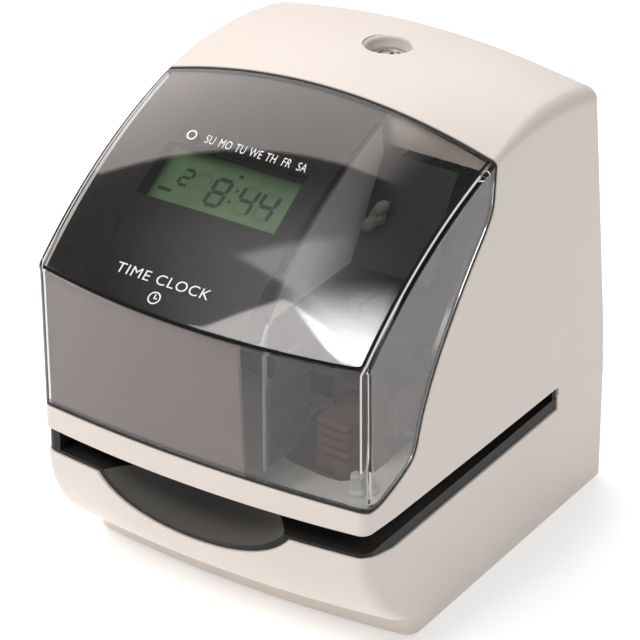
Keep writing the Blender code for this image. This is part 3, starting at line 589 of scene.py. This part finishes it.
def build_seal(looks):
    """Soft bead in the joint between the window and the cover."""
    depth = 0.7
    inner = shell_grid(cover_rows, cover_radius, depth)
    front = [mix(c[BAND_ROW], c[FOOT_ROW]) for c in inner]
    top = [mix(c[BROW_ROW], c[TOP_ROW]) for c in inner]

    def side(column):
        x = column[0][0]
        high = mix(column[BROW_ROW], column[TOP_ROW])[1:]
        low = mix(column[BAND_ROW], column[FOOT_ROW])[1:]
        return [(x, y, z) for y, z in chaikin([high] + window_curve(SEAL / 2.0) + [low])[1:-1]]

    loop = front + side(inner[-1])[::-1] + top[::-1] + side(inner[0])
    tube("window_bead", loop, 0.62, looks["rubber"], "cover", cyclic=True)
    paint(NODES["window_seal"].data, looks["rubber"])


def tube(name, path, radius, mat, body, cyclic=False, resolution=3):
    curve = bpy.data.curves.new(name, 'CURVE')
    curve.dimensions, curve.bevel_depth, curve.bevel_resolution = '3D', radius * MM, resolution
    curve.use_fill_caps = True
    spline = curve.splines.new('POLY')
    spline.points.add(len(path) - 1)
    for point, (x, y, z) in zip(spline.points, path):
        point.co = (x * MM, y * MM, z * MM, 1.0)
    spline.use_cyclic_u = cyclic
    obj = bpy.data.objects.new(name, curve)
    bpy.context.scene.collection.objects.link(obj)
    curve.materials.append(mat)
    return settle(obj, body)


# ---------------------------------------------------------------- base and table
def base_front(z, crown):
    """Y of the base's front face at one height, on a smooth line through the key heights."""
    keys = [(k[0], k[1] + (k[2] - k[1]) * crown) for k in BASE_FRONT][::-1]
    i = 0
    while i < len(keys) - 2 and z > keys[i + 1][0]:
        i += 1
    (za, ya), (zb, yb) = keys[i], keys[i + 1]
    t = (z - za) / (zb - za)
    before, after = keys[max(i - 1, 0)], keys[min(i + 2, len(keys) - 1)]
    slope_a = (yb - before[1]) / (zb - before[0]) * (zb - za)
    slope_b = (after[1] - ya) / (after[0] - za) * (zb - za)
    return ((2 * t ** 3 - 3 * t ** 2 + 1) * ya + (t ** 3 - 2 * t ** 2 + t) * slope_a
            + (3 * t ** 2 - 2 * t ** 3) * yb + (t ** 3 - t ** 2) * slope_b)


BASE_STEPS = 24
RIM_ROW = BASE_STEPS + 2
RIM_LINE = ((-82.0, RIM_FRONT), (-76.0, RIM_FRONT - 1.4), (-66.0, RIM_SIDE))


def base_rows(crown, pull=0.0):
    low, high = BASE_FRONT[-1][0], RIM_FRONT
    rows = [(side + (mid - side) * crown, z) for z, side, mid in PLINTH[::-1]]
    top = lookup(RIM_LINE, base_front(high, crown) + pull * 1.2)
    for i in range(BASE_STEPS + 1):
        z = low + (top - low) * i / BASE_STEPS
        rows.append((base_front(z, crown), z))
    front = rows[-1][0]
    return rows + [(front, BASE_TOP), (BACK_Y, BASE_TOP), (BACK_Y, SEAM_Z - SEAM_GAP), (BACK_Y, BASE_BOTTOM)]


def base_radius(y, z):
    return 4.0 if y > 80.0 else 6.0


def base_wall(rows):
    rim = [(-76.0, RIM_FRONT - 1.4), (-66.0, RIM_SIDE), (SLOT_END_Y, RIM_SIDE),
           (SLOT_END_Y, SEAM_Z - SEAM_GAP)]
    return rows[:RIM_ROW + 1] + rim + rows[RIM_ROW + 3:]


def scoop(name, grow):
    return ellipsoid(name, SCOOP_CENTRE, [r + grow for r in SCOOP_RADII])


def build_base(looks):
    grid = shell_grid(base_rows, base_radius, across=40, shift=draw_in)
    last = len(grid[0]) - 1
    base = skin("base_housing", grid, [(0, RIM_ROW), (RIM_ROW + 3, last)], base_wall, looks["cream"])
    thicken(base, BASE_WALL)
    boolean(base, scoop("notch_cutter", 2.6 + GAP))
    boolean(base, box("inlet_cutter", (38.7, 51.3), (88.0, 99.0), (15.7, 26.3)))
    round_rims(base, 0.45)
    smooth(base, 52.0)
    weigh(base)
    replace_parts(settle(base, "base"), "base_shell")


def build_table(looks):
    grid = shell_grid(base_rows, base_radius, depth=0.8, across=40, shift=draw_in)
    table = closed_loft("card_table", grid)
    slab = box("slab", (-80.0, 80.0), (-100.0, SLOT_END_Y - GAP), (RIM_SIDE + GAP, TABLE_TOP))
    boolean(table, slab, 'INTERSECT')
    low = RIM_FRONT + GAP
    step = [(-130.0, low), (-82.0, low), (-76.0, low - 1.4), (-66.0, RIM_SIDE + GAP), (-66.0, 20.0),
            (-130.0, 20.0)]
    boolean(table, prism("step", step, -90.0, 90.0, 'X'))
    bowl = closed_loft("bowl", grid)
    boolean(bowl, scoop("bowl_skin", 2.6), 'INTERSECT')
    boolean(bowl, box("bowl_keep", (-80.0, 80.0), (-100.0, -62.0), (30.0, TABLE_TOP - 0.01)), 'INTERSECT')
    boolean(table, bowl, 'UNION')
    fence = closed_loft("fence", grid)
    side = [(-95.0, 54.8), (-95.0, 61.0), (-86.6, 63.6), (-60.0, 62.4), (0.0, 60.6), (55.7, 59.7),
            (55.7, 54.8)]
    boolean(fence, prism("fence_side", side, -90.0, -67.0, 'X'), 'INTERSECT')
    boolean(table, fence, 'UNION')
    boolean(table, box("stop", (-70.0, 74.0), (53.2, 55.72), (54.8, 59.7)), 'UNION')
    boolean(table, scoop("scoop_cutter", 0.0))
    boolean(table, box("pocket", (-45.5, 50.5), (-52.5, -39.5), (40.0, 60.0)))
    # the scoop's inward faces get the lighter grey copy of the table plastic: painted light where the scoop
    # catches the light
    paint(table.data, looks["table"], looks["bowl"])
    for face in table.data.polygons:
        offset = [(c / MM - m) / r for c, m, r in zip(face.center, SCOOP_CENTRE, SCOOP_RADII)]
        if Vector(offset).length < 1.01 and face.normal.dot(Vector(offset)) < -0.4:
            face.material_index = 1
    smooth(table, 40.0)
    weigh(table)
    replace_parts(settle(table, "base"), "document_table")


# ---------------------------------------------------------------- materials
class Look:
    """A material and short ways to add nodes to it."""

    def __init__(self, name):
        self.mat = bpy.data.materials.new(name)
        self.mat.use_nodes = True
        self.tree = self.mat.node_tree
        self.shader = self.tree.nodes["Principled BSDF"]
        self.coords = self.tree.nodes.new("ShaderNodeTexCoord").outputs["Object"]

    def node(self, kind, **inputs):
        made = self.tree.nodes.new("ShaderNode" + kind)
        for key, value in inputs.items():
            self.put(made.inputs[key.replace("_", " ")], value)
        return made

    def put(self, socket, value):
        if isinstance(value, bpy.types.NodeSocket):
            self.tree.links.new(value, socket)
        else:
            socket.default_value = value

    def set(self, **inputs):
        for key, value in inputs.items():
            self.put(self.shader.inputs[key.replace("_", " ")], value)

    def noise(self, per_mm, detail=3.0, roughness=0.5, stretch=(1.0, 1.0, 1.0)):
        """Noise with about per_mm lumps in a millimetre, optionally squeezed along an axis."""
        place = self.node("Mapping", Vector=self.coords)
        place.inputs["Scale"].default_value = stretch
        made = self.node("TexNoise", Vector=place.outputs[0], Scale=per_mm / MM, Detail=detail,
                         Roughness=roughness)
        return made.outputs["Fac"]

    def blend(self, factor, dark, light, low=0.35, high=0.65):
        made = self.node("ValToRGB", Fac=factor)
        first, second = made.color_ramp.elements
        first.position, second.position = low, high
        first.color, second.color = (*dark, 1.0), (*light, 1.0)
        return made.outputs["Color"]

    def spread(self, factor, low, high):
        made = self.node("MapRange", Value=factor)
        made.inputs["To Min"].default_value = low
        made.inputs["To Max"].default_value = high
        return made.outputs["Result"]

    def bump(self, height, depth_mm, below=None):
        made = self.node("Bump", Height=height, Distance=depth_mm * MM, Strength=1.0)
        if below:
            self.put(made.inputs["Normal"], below)
        return made.outputs["Normal"]


def moulded(name, dark, light, roughness, grain=2.2, depth=0.012, level=0.5):
    """Injection-moulded plastic: fine spark-eroded grain, faint flow marks and uneven sheen."""
    look = Look(name)
    flow = look.noise(0.02, detail=4.0, stretch=(1.0, 1.0, 0.4))
    fine = look.noise(grain, detail=5.0, roughness=0.65)
    soft = look.noise(grain * 0.3, detail=2.0)
    look.set(Base_Color=look.blend(flow, dark, light, 0.3, 0.7), Roughness=look.spread(soft, *roughness),
             Specular_IOR_Level=level)
    if depth:
        look.set(Normal=look.bump(fine, depth, look.bump(soft, depth * 1.5)))
    return look.mat


def metal(name, colour, dark, roughness, stretch=(1.0, 1.0, 1.0)):
    """Plated or brushed metal with fine streaks along one axis."""
    look = Look(name)
    streak = look.noise(1.4, detail=6.0, roughness=0.7, stretch=stretch)
    cloud = look.noise(0.08, detail=3.0)
    look.set(Base_Color=look.blend(cloud, dark, colour), Metallic=1.0,
             Roughness=look.spread(streak, *roughness))
    look.set(Normal=look.bump(streak, 0.006))
    return look.mat


def smoked_pane():
    """Tinted clear acrylic; light that only passes through on its way to a lamp is dimmed, not bent."""
    look = Look("smoked_window")
    haze = look.noise(0.015, detail=3.0)
    look.set(Base_Color=look.blend(haze, (0.63, 0.615, 0.60), (0.67, 0.655, 0.645)), Transmission_Weight=1.0,
             Roughness=look.spread(haze, 0.008, 0.014), IOR=1.49)
    clear = look.node("BsdfTransparent", Color=(0.80, 0.78, 0.77, 1.0))
    path = look.node("LightPath")
    both = look.node("MixShader")
    look.put(both.inputs[0], path.outputs["Is Shadow Ray"])
    look.put(both.inputs[1], look.shader.outputs[0])
    look.put(both.inputs[2], clear.outputs[0])
    look.put(look.tree.nodes["Material Output"].inputs["Surface"], both.outputs[0])
    return look.mat


def ink(name, colour, roughness=0.45, level=0.5):
    """Screen-printed ink with slightly uneven cover."""
    look = Look(name)
    cover = look.noise(1.6, detail=3.0)
    pale = tuple(min(c * 1.06 + 0.004, 1.0) for c in colour)
    look.set(Base_Color=look.blend(cover, colour, pale), Specular_IOR_Level=level,
             Roughness=look.spread(cover, roughness, roughness + 0.12))
    look.set(Normal=look.bump(cover, 0.004))
    return look.mat


def circuit_board():
    look = Look("circuit_board")
    lines = look.node("TexWave", Vector=look.coords, Scale=420.0, Distortion=6.0, Detail=2.0)
    lines.wave_type = 'BANDS'
    tracks = look.blend(lines.outputs["Fac"], (0.012, 0.10, 0.045), (0.03, 0.20, 0.08), 0.46, 0.54)
    look.set(Base_Color=tracks, Roughness=0.35, Coat_Weight=0.4)
    look.set(Normal=look.bump(lines.outputs["Fac"], 0.03))
    return look.mat


def lcd_green():
    look = Look("lcd_reflector")
    fine = look.noise(3.0, detail=4.0, roughness=0.7)
    shade = look.noise(0.02, detail=2.0)
    base = look.blend(shade, (0.10, 0.215, 0.095), (0.15, 0.29, 0.13))
    look.set(Base_Color=base, Roughness=look.spread(fine, 0.22, 0.34), Coat_Weight=0.3)
    look.set(Normal=look.bump(fine, 0.003))
    return look.mat


def make_looks():
    looks = {
        "cream": moulded("cream_plastic", (0.77, 0.695, 0.632), (0.795, 0.72, 0.658), (0.42, 0.52)),
        "table": moulded("black_table", (0.014, 0.0135, 0.013), (0.020, 0.019, 0.018),
                         (0.40, 0.52), grain=1.6, level=0.2),
        # lighter grey copy of the table's black plastic: painted light for the scoop, whose faces catch the
        # light the shadowed slot misses
        "bowl": moulded("bowl_painted_light", (0.095, 0.09, 0.084), (0.12, 0.113, 0.105),
                        (0.42, 0.55), grain=1.6, level=0.3),
        "dull": moulded("dull_plastic", (0.17, 0.165, 0.15), (0.21, 0.20, 0.185), (0.50, 0.65)),
        "black": moulded("black_plastic", (0.012, 0.012, 0.012), (0.019, 0.018, 0.018), (0.38, 0.52)),
        "grey": moulded("grey_plastic", (0.42, 0.43, 0.42), (0.48, 0.49, 0.48), (0.40, 0.55)),
        "pale": moulded("pale_plastic", (0.80, 0.83, 0.80), (0.85, 0.88, 0.85), (0.40, 0.55)),
        "wall": moulded("grey_divider", (0.50, 0.50, 0.49), (0.56, 0.56, 0.55), (0.45, 0.60), depth=0.004),
        "dark_grey": moulded("dark_grey_plastic", (0.055, 0.052, 0.050), (0.075, 0.071, 0.068), (0.45, 0.60)),
        "screen": moulded("screen_card", (0.42, 0.35, 0.34), (0.46, 0.385, 0.375), (0.50, 0.60), depth=0.0),
        "mask": moulded("display_mask", (0.020, 0.0185, 0.018), (0.024, 0.022, 0.0215), (0.26, 0.30),
                        grain=0.6, depth=0.0, level=0.12),
        "maroon": moulded("maroon_plastic", (0.17, 0.075, 0.062), (0.22, 0.10, 0.085), (0.45, 0.60)),
        # painted highlight: pale strips that stand for the light caught by the window's edges
        "glint": moulded("painted_edge_highlight", (0.78, 0.76, 0.75), (0.84, 0.83, 0.82), (0.18, 0.30), depth=0.003),
        "rubber": moulded("rubber", (0.016, 0.016, 0.016), (0.028, 0.027, 0.026),
                          (0.62, 0.80), grain=1.2, depth=0.02),
        "sleeve": moulded("battery_sleeve", (0.02, 0.09, 0.28), (0.03, 0.12, 0.34), (0.25, 0.35), grain=0.8),
        "ribbon": moulded("ink_ribbon", (0.16, 0.045, 0.04), (0.24, 0.07, 0.055), (0.65, 0.85), grain=5.0),
        "steel": metal("zinc_steel", (0.66, 0.67, 0.68), (0.50, 0.51, 0.53), (0.25, 0.42), (0.05, 1.0, 1.0)),
        "chrome": metal("lock_chrome", (0.74, 0.72, 0.69), (0.62, 0.60, 0.57),
                        (0.14, 0.26), (1.0, 1.0, 0.05)),
        "brass": metal("brass", (0.80, 0.60, 0.28), (0.62, 0.43, 0.18), (0.22, 0.38), (1.0, 1.0, 0.1)),
        "dark": metal("dark_metal", (0.16, 0.155, 0.15), (0.10, 0.10, 0.10), (0.35, 0.52)),
        "smoke": smoked_pane(),
        "white": ink("white_ink", (0.86, 0.86, 0.85)),
        "border": ink("black_ink", (0.006, 0.006, 0.006), 0.60, 0.1),
        "segment": ink("lcd_segment", (0.012, 0.035, 0.014), 0.25),
        "ghost": ink("lcd_ghost", (0.095, 0.19, 0.09), 0.25),
        "lcd": lcd_green(),
        "board": circuit_board(),
    }
    return looks


NODES_BY_LOOK = {
    "rubber": ("platen", "foot_front_left", "foot_front_right", "foot_rear_left", "foot_rear_right",
               "drive_belt", "window_seal"),
    "steel": ("bottom_plate", "bottom_screw_1", "bottom_screw_2", "bottom_screw_3", "bottom_screw_4",
              "chassis", "switch_bracket", "idler_pin", "pulley_bridge", "lever_pin", "lock_catch",
              "lock_cam"),
    "black": ("power_inlet", "throat_guide", "display_panel", "lcd_frame", "ribbon_cassette",
              "mechanism_shroud"),
    "chrome": ("inlet_pin", "guide_rod_front", "guide_rod_rear", "lock_barrel", "lock_plug"),
    "pale": ("ribbon_deck", "deck_post"),
    "screen": ("front_screen",),
    "lcd": ("lcd_glass",),
    "board": ("lcd_board", "main_board", "switch_board"),
    "sleeve": ("battery_pack",),
    "grey": ("set_button_1", "set_button_2", "set_button_3", "divider_wall", "card_lever"),
    "maroon": ("print_carriage", "print_head"),
    "brass": ("drive_pulley", "idler_pulley", "lock_nut"),
    "dark": ("drive_motor",),
    "ribbon": ("ink_ribbon",),
    "dark_grey": ("ribbon_knob",),
}


def dress_nodes(looks):
    for look, names in NODES_BY_LOOK.items():
        for name in names:
            paint(NODES[name].data, looks[look])


# ---------------------------------------------------------------- print on the window and the display
VIEW_FROM = Vector((0.731, -1.1155, 0.846))
VIEW_TILT, VIEW_HEADING = 60.6, 33.3
LENS, SENSOR = 219.3, 36.0
SLOPE_ORIGIN = Vector((0.0, -41.0, 172.0)) * MM
SLOPE_UP = Vector((0.0, math.cos(LCD_TILT), math.sin(LCD_TILT)))


def window_tree():
    graph = bpy.context.evaluated_depsgraph_get()
    return BVHTree.FromObject(bpy.data.objects["window_pane"], graph)


def lay_on_window(obj, tree, lift=0.05):
    """Move each point of a flat drawing (x, s in mm) on to the window's face, along a line of sight."""
    for vertex in obj.data.vertices:
        x, s, _ = vertex.co
        target = SLOPE_ORIGIN + Vector((x, 0.0, 0.0)) * MM + SLOPE_UP * s * MM
        spot, normal, _, _ = tree.ray_cast(VIEW_FROM, (target - VIEW_FROM).normalized())
        vertex.co = spot + normal * lift * MM
    obj.data.update()
    return obj


def flat_text(name, words, height, centre, squeeze=1.0, spacing=1.0):
    """Letters as a flat mesh in millimetres; height is that of a capital."""
    curve = bpy.data.curves.new(name, 'FONT')
    curve.body, curve.align_x, curve.align_y = words, 'CENTER', 'CENTER'
    curve.size, curve.space_character, curve.resolution_u = height / 0.7, spacing, 6
    maker = bpy.data.objects.new(name + "_maker", curve)
    bpy.context.scene.collection.objects.link(maker)
    graph = bpy.context.evaluated_depsgraph_get()
    graph.update()
    mesh = bpy.data.meshes.new_from_object(maker.evaluated_get(graph))
    bpy.data.objects.remove(maker, do_unlink=True)
    for vertex in mesh.vertices:
        vertex.co = (vertex.co.x * squeeze + centre[0], vertex.co.y + centre[1], 0.0)
    obj = bpy.data.objects.new(name, mesh)
    bpy.context.scene.collection.objects.link(obj)
    return obj


def ring_mesh(name, centre, outer, inner, count=40):
    points = [(x / MM, y / MM, 0.0) for x, y in circle(centre, outer, count) + circle(centre, inner, count)]
    faces = [(i, (i + 1) % count, count + (i + 1) % count, count + i) for i in range(count)]
    return mesh_piece(name, points, faces)


def bar_mesh(name, start, end, width):
    """Flat bar between two points of a drawing."""
    a, b = Vector(start), Vector(end)
    side = (b - a).normalized().orthogonal() * width / 2.0
    corners = [a - side, b - side, b + side, a + side]
    return mesh_piece(name, [(p.x / MM, p.y / MM, 0.0) for p in corners], [(0, 1, 2, 3)])


DAYS = ("SU", "MO", "TU", "WE", "TH", "FR", "SA")


def build_print(looks):
    tree = window_tree()
    marks = [ring_mesh("mode_mark", (-39.4, 11.3), 2.2, 1.5)]
    for i, day in enumerate(DAYS):
        marks.append(flat_text("day_label_%d" % (i + 1), day, 3.7, (-30.9 + 6.95 * i, 11.3), 0.70, 1.05))
    marks.append(flat_text("title_text", "TIME CLOCK", 4.4, (-17.4, -50.0), 1.08, 1.10))
    marks.append(ring_mesh("title_clock_ring", (-17.0, -57.5), 2.7, 2.1))
    marks.append(bar_mesh("title_clock_hand_long", (-17.0, -58.0), (-17.0, -55.9), 0.55))
    marks.append(bar_mesh("title_clock_hand_short", (-17.2, -57.6), (-15.7, -57.6), 0.55))
    for mark in marks:
        lay_on_window(mark, tree)
        paint(mark.data, looks["white"])
        settle(mark, "cover")


SEGMENTS = {"a": ((0, 1), (1, 1)), "b": ((1, 1), (1, 0.5)), "c": ((1, 0.5), (1, 0)), "d": ((0, 0), (1, 0)),
            "e": ((0, 0.5), (0, 0)), "f": ((0, 1), (0, 0.5)), "g": ((0, 0.5), (1, 0.5))}
LIT = {"8": "abcdefg", "4": "bcfg", "2": "abged"}


def segment_points(corner, size, name, width):
    """Six-sided bar of a seven-segment digit."""
    (ax, ay), (bx, by) = SEGMENTS[name]
    a = Vector((corner[0] + ax * size[0], corner[1] + ay * size[1]))
    b = Vector((corner[0] + bx * size[0], corner[1] + by * size[1]))
    along = (b - a).normalized()
    across = along.orthogonal() * width / 2.0
    cut = along * (width / 2.0 + 0.12)
    tip = along * 0.14
    return [a + tip, a + cut - across, b - cut - across, b - tip, b - cut + across, a + cut + across]


def digit(book, corner, size, width, lit):
    for name in SEGMENTS:
        book["lit" if name in lit else "off"].append(segment_points(corner, size, name, width))


LCD_MARKS = {
    "lit": ((-26.6, -6.8, 5.8, 1.4), (4.0, 1.2, 1.1, 1.4), (3.5, -4.0, 1.1, 1.4), (1.6, 7.2, 1.9, 1.5)),
    "off": ((-26.0, 2.4, 4.4, 1.1), (11.4, 7.2, 1.9, 1.5), (-8.4, 7.2, 1.9, 1.5), (20.6, 7.2, 1.9, 1.5)),
}
DIGIT_SLANT = 0.09


def build_digits(looks):
    """Figures on the display, lit ones and the faint ones of the segments that are off."""
    book = {"lit": [], "off": []}
    digit(book, (-20.5, -2.4), (4.5, 6.8), 1.4, LIT["2"])
    for left, figure in ((-14.4, ""), (-5.5, "8"), (7.2, "4"), (16.3, "4")):
        digit(book, (left, -6.9), (6.4, 11.6), 1.75, LIT.get(figure, ""))
    for kind, marks in LCD_MARKS.items():
        for x, y, w, h in marks:
            book[kind].append([Vector(p) for p in ((x, y), (x + w, y), (x + w, y + h), (x, y + h))])
    turn = Matrix.Rotation(LCD_TILT, 4, 'X')
    for kind, look, height in (("lit", "segment", 0.66), ("off", "ghost", 0.63)):
        points, faces = [], []
        for outline in book[kind]:
            if signed_area([tuple(p) for p in outline]) < 0:
                outline = outline[::-1]
            faces.append(tuple(range(len(points), len(points) + len(outline))))
            for p in outline:
                flat = Vector((p.x + DIGIT_SLANT * p.y, p.y, height))
                points.append(tuple(turn @ flat + Vector(LCD_CENTRE)))
        mesh_piece("lcd_figures_" + kind, points, faces, looks[look], "base")


def build_border(grid, looks):
    """Black line printed round the sloping face: along the bend, round a corner and up the right edge."""
    low, high = UPRIGHT_ROWS + 4.5, BROW_ROW
    right = EDGE_STEPS + ACROSS + 0.4
    path = [(c, low) for c in range(EDGE_STEPS, int(right) - 2)]
    for i in range(9):
        a = math.pi / 2.0 * i / 8
        path.append((right - 2.0 + 2.0 * math.sin(a), low + 2.4 - 2.4 * math.cos(a)))
    path += [(right, row) for row in range(int(low) + 4, high + 1)]
    ribbon("slope_border", grid, path, 1.3, looks["border"])


def build_glints(grid, looks):
    """Painted highlights: pale strips along the window's polished edges where they turn on to its side walls,
    standing in for the light those edges catch.
    """
    for name, column, last, width in (("painted_glint_right", 53.2, BROW_ROW - 3, 0.75),
                                      ("painted_glint_left", 6.6, BROW_ROW - 1, 0.5)):
        path = [(column, row) for row in range(FOOT_ROW + 1, last + 1)]
        ribbon(name, grid, path, width, looks["glint"])


def grid_point(grid, column, row):
    c, r = min(int(column), len(grid) - 2), min(int(row), len(grid[0]) - 2)
    u, v = column - c, row - r
    low = mix(grid[c][r], grid[c + 1][r], u)
    high = mix(grid[c][r + 1], grid[c + 1][r + 1], u)
    across = Vector(grid[c + 1][r]) - Vector(grid[c][r])
    along = Vector(high) - Vector(low)
    return Vector(mix(low, high, v)), across.cross(along).normalized()


def ribbon(name, grid, path, width, mat, lift=0.05):
    spots = [grid_point(grid, c, r) for c, r in path]
    points = []
    for i, (spot, normal) in enumerate(spots):
        ahead = spots[min(i + 1, len(spots) - 1)][0] - spots[max(i - 1, 0)][0]
        side = normal.cross(ahead).normalized() * width / 2.0
        points += [tuple(spot + side + normal * lift), tuple(spot - side + normal * lift)]
    faces = [(2 * i, 2 * i + 1, 2 * i + 3, 2 * i + 2) for i in range(len(spots) - 1)]
    return mesh_piece(name, points, faces, mat, "cover")


# ---------------------------------------------------------------- studio
LIT_FROM = 0.15             # height in metres above which the lamps' heights are counted
FLOOR_GLOW, FLOOR_REACH = 0.36, 4000.0
ROOM_LIGHT = 0.20
# name, outline, fade of each edge, height, radiance, colour; the window mirrors the front and rear ones
LAMPS = (
    ("rear_panel", [(-2.3, 0.11), (-0.12, 0.11), (-0.12, 2.6), (-2.3, 2.6)], (0.015, 0.2, 0.25, 0.04),
     2.0, 2.4, (1.0, 0.93, 0.915)),
    ("top_softbox", [(0.08, -0.2), (0.8, -0.2), (0.8, 0.9), (0.08, 0.9)], (0.1, 0.1, 0.1, 0.05),
     1.8, 1.5, (0.90, 0.96, 1.0)),
    ("left_softbox", [(-2.7, -1.8), (-1.5, -1.8), (-1.5, -0.2), (-2.7, -0.2)], (0.2, 0.2, 0.2, 0.2),
     1.2, 1.5, (0.95, 0.98, 1.0)),
    ("front_softbox", [(-0.38, -0.50), (-0.02, -0.93), (0.05, -0.14)], (0.03, 0.08, 0.23),
     1.5, 16.0, (1.0, 1.0, 1.0)),
    ("front_card", [(-0.82, -0.98), (-0.10, -0.98), (-0.10, -0.60), (-0.35, -0.53)], (0.04, 0.04, 0.02, 0.02),
     1.4, 5.6, (1.0, 0.97, 0.96)),
    ("side_card", [(-0.60, -0.42), (-0.16, -0.56), (-0.16, -0.10)], (0.05, 0.18, 0.06),
     1.6, 2.3, (1.0, 1.0, 1.0)),
    ("front_haze", [(-1.2, -1.1), (0.05, -1.1), (0.05, 0.1), (-1.2, 0.1)], (0.1, 0.35, 0.5, 0.8),
     1.7, 1.0, (1.0, 1.0, 1.0)),
)


def ceiling_light(name, outline, fades, height, radiance, colour):
    """Flat lamp above the object with a convex outline, in metres per metre of height.

    The outline runs counter-clockwise seen from above. Each fade softens the edge that starts at its point.
    """
    low = Vector((min(p[0] for p in outline), min(p[1] for p in outline)))
    span = Vector((max(p[0] for p in outline), max(p[1] for p in outline))) - low
    data = bpy.data.lights.new(name, 'AREA')
    data.shape, data.size, data.size_y = 'RECTANGLE', span.x * height, span.y * height
    data.color = colour
    data.energy = radiance * math.pi * data.size * data.size_y
    data.use_nodes = True
    tree = data.node_tree
    place = tree.nodes.new("ShaderNodeNewGeometry").outputs["Parametric"]
    level = None
    for start, end, fade in zip(outline, outline[1:] + outline[:1], fades):
        inward = Vector((start[1] - end[1], end[0] - start[0])).normalized()
        across = tree.nodes.new("ShaderNodeVectorMath")
        across.operation = 'DOT_PRODUCT'
        across.inputs[1].default_value = (inward.x * span.x, inward.y * span.y, 0.0)
        tree.links.new(place, across.inputs[0])
        edge = (Vector(start) - low).dot(inward)
        step = tree.nodes.new("ShaderNodeMapRange")
        step.interpolation_type = 'SMOOTHSTEP'
        step.inputs["From Min"].default_value = edge
        step.inputs["From Max"].default_value = edge + fade
        tree.links.new(across.outputs["Value"], step.inputs["Value"])
        if level:
            both = tree.nodes.new("ShaderNodeMath")
            both.operation = 'MULTIPLY'
            tree.links.new(level, both.inputs[0])
            tree.links.new(step.outputs["Result"], both.inputs[1])
            level = both.outputs[0]
        else:
            level = step.outputs["Result"]
    tree.links.new(level, tree.nodes["Emission"].inputs["Strength"])
    obj = bpy.data.objects.new(name, data)
    bpy.context.scene.collection.objects.link(obj)
    obj.location = (*((low + span / 2.0) * height), LIT_FROM + height)


def build_studio():
    scene = bpy.context.scene
    scene.view_settings.view_transform = 'Standard'
    world = bpy.data.worlds.new("studio")
    world.use_nodes = True
    back = world.node_tree.nodes["Background"]
    back.inputs["Color"].default_value = (1.0, 0.99, 0.98, 1.0)
    back.inputs["Strength"].default_value = ROOM_LIGHT
    scene.world = world

    look = Look("floor_paper")
    tooth = look.noise(0.5, detail=4.0)
    look.set(Base_Color=look.blend(tooth, (0.93, 0.93, 0.93), (0.95, 0.95, 0.95)), Roughness=0.9,
             Specular_IOR_Level=0.2, Emission_Color=(1.0, 1.0, 1.0, 1.0), Emission_Strength=FLOOR_GLOW)
    look.set(Normal=look.bump(tooth, 0.02))
    corners = [(x * FLOOR_REACH, y * FLOOR_REACH, 0) for x, y in ((-1, -1), (1, -1), (1, 1), (-1, 1))]
    floor = mesh_piece("studio_floor", corners, [(0, 1, 2, 3)], look.mat)

    for lamp in LAMPS:
        ceiling_light(*lamp)


def build_camera():
    data = bpy.data.cameras.new("camera")
    data.sensor_width, data.lens = SENSOR, LENS
    camera = bpy.data.objects.new("camera", data)
    bpy.context.scene.collection.objects.link(camera)
    camera.location = VIEW_FROM
    camera.rotation_euler = (math.radians(VIEW_TILT), 0.0, math.radians(VIEW_HEADING))
    bpy.context.scene.camera = camera


# ---------------------------------------------------------------- everything
def main():
    build_camera()
    build_studio()
    looks = make_looks()
    dress_nodes(looks)
    grid = build_cover(looks)
    build_mask(looks)
    build_divider(looks)
    build_side_plate(looks)
    build_shroud_nut(looks)
    build_seal(looks)
    build_base(looks)
    build_table(looks)
    build_print(looks)
    build_digits(looks)
    build_border(grid, looks)
    build_glints(grid, looks)


main()
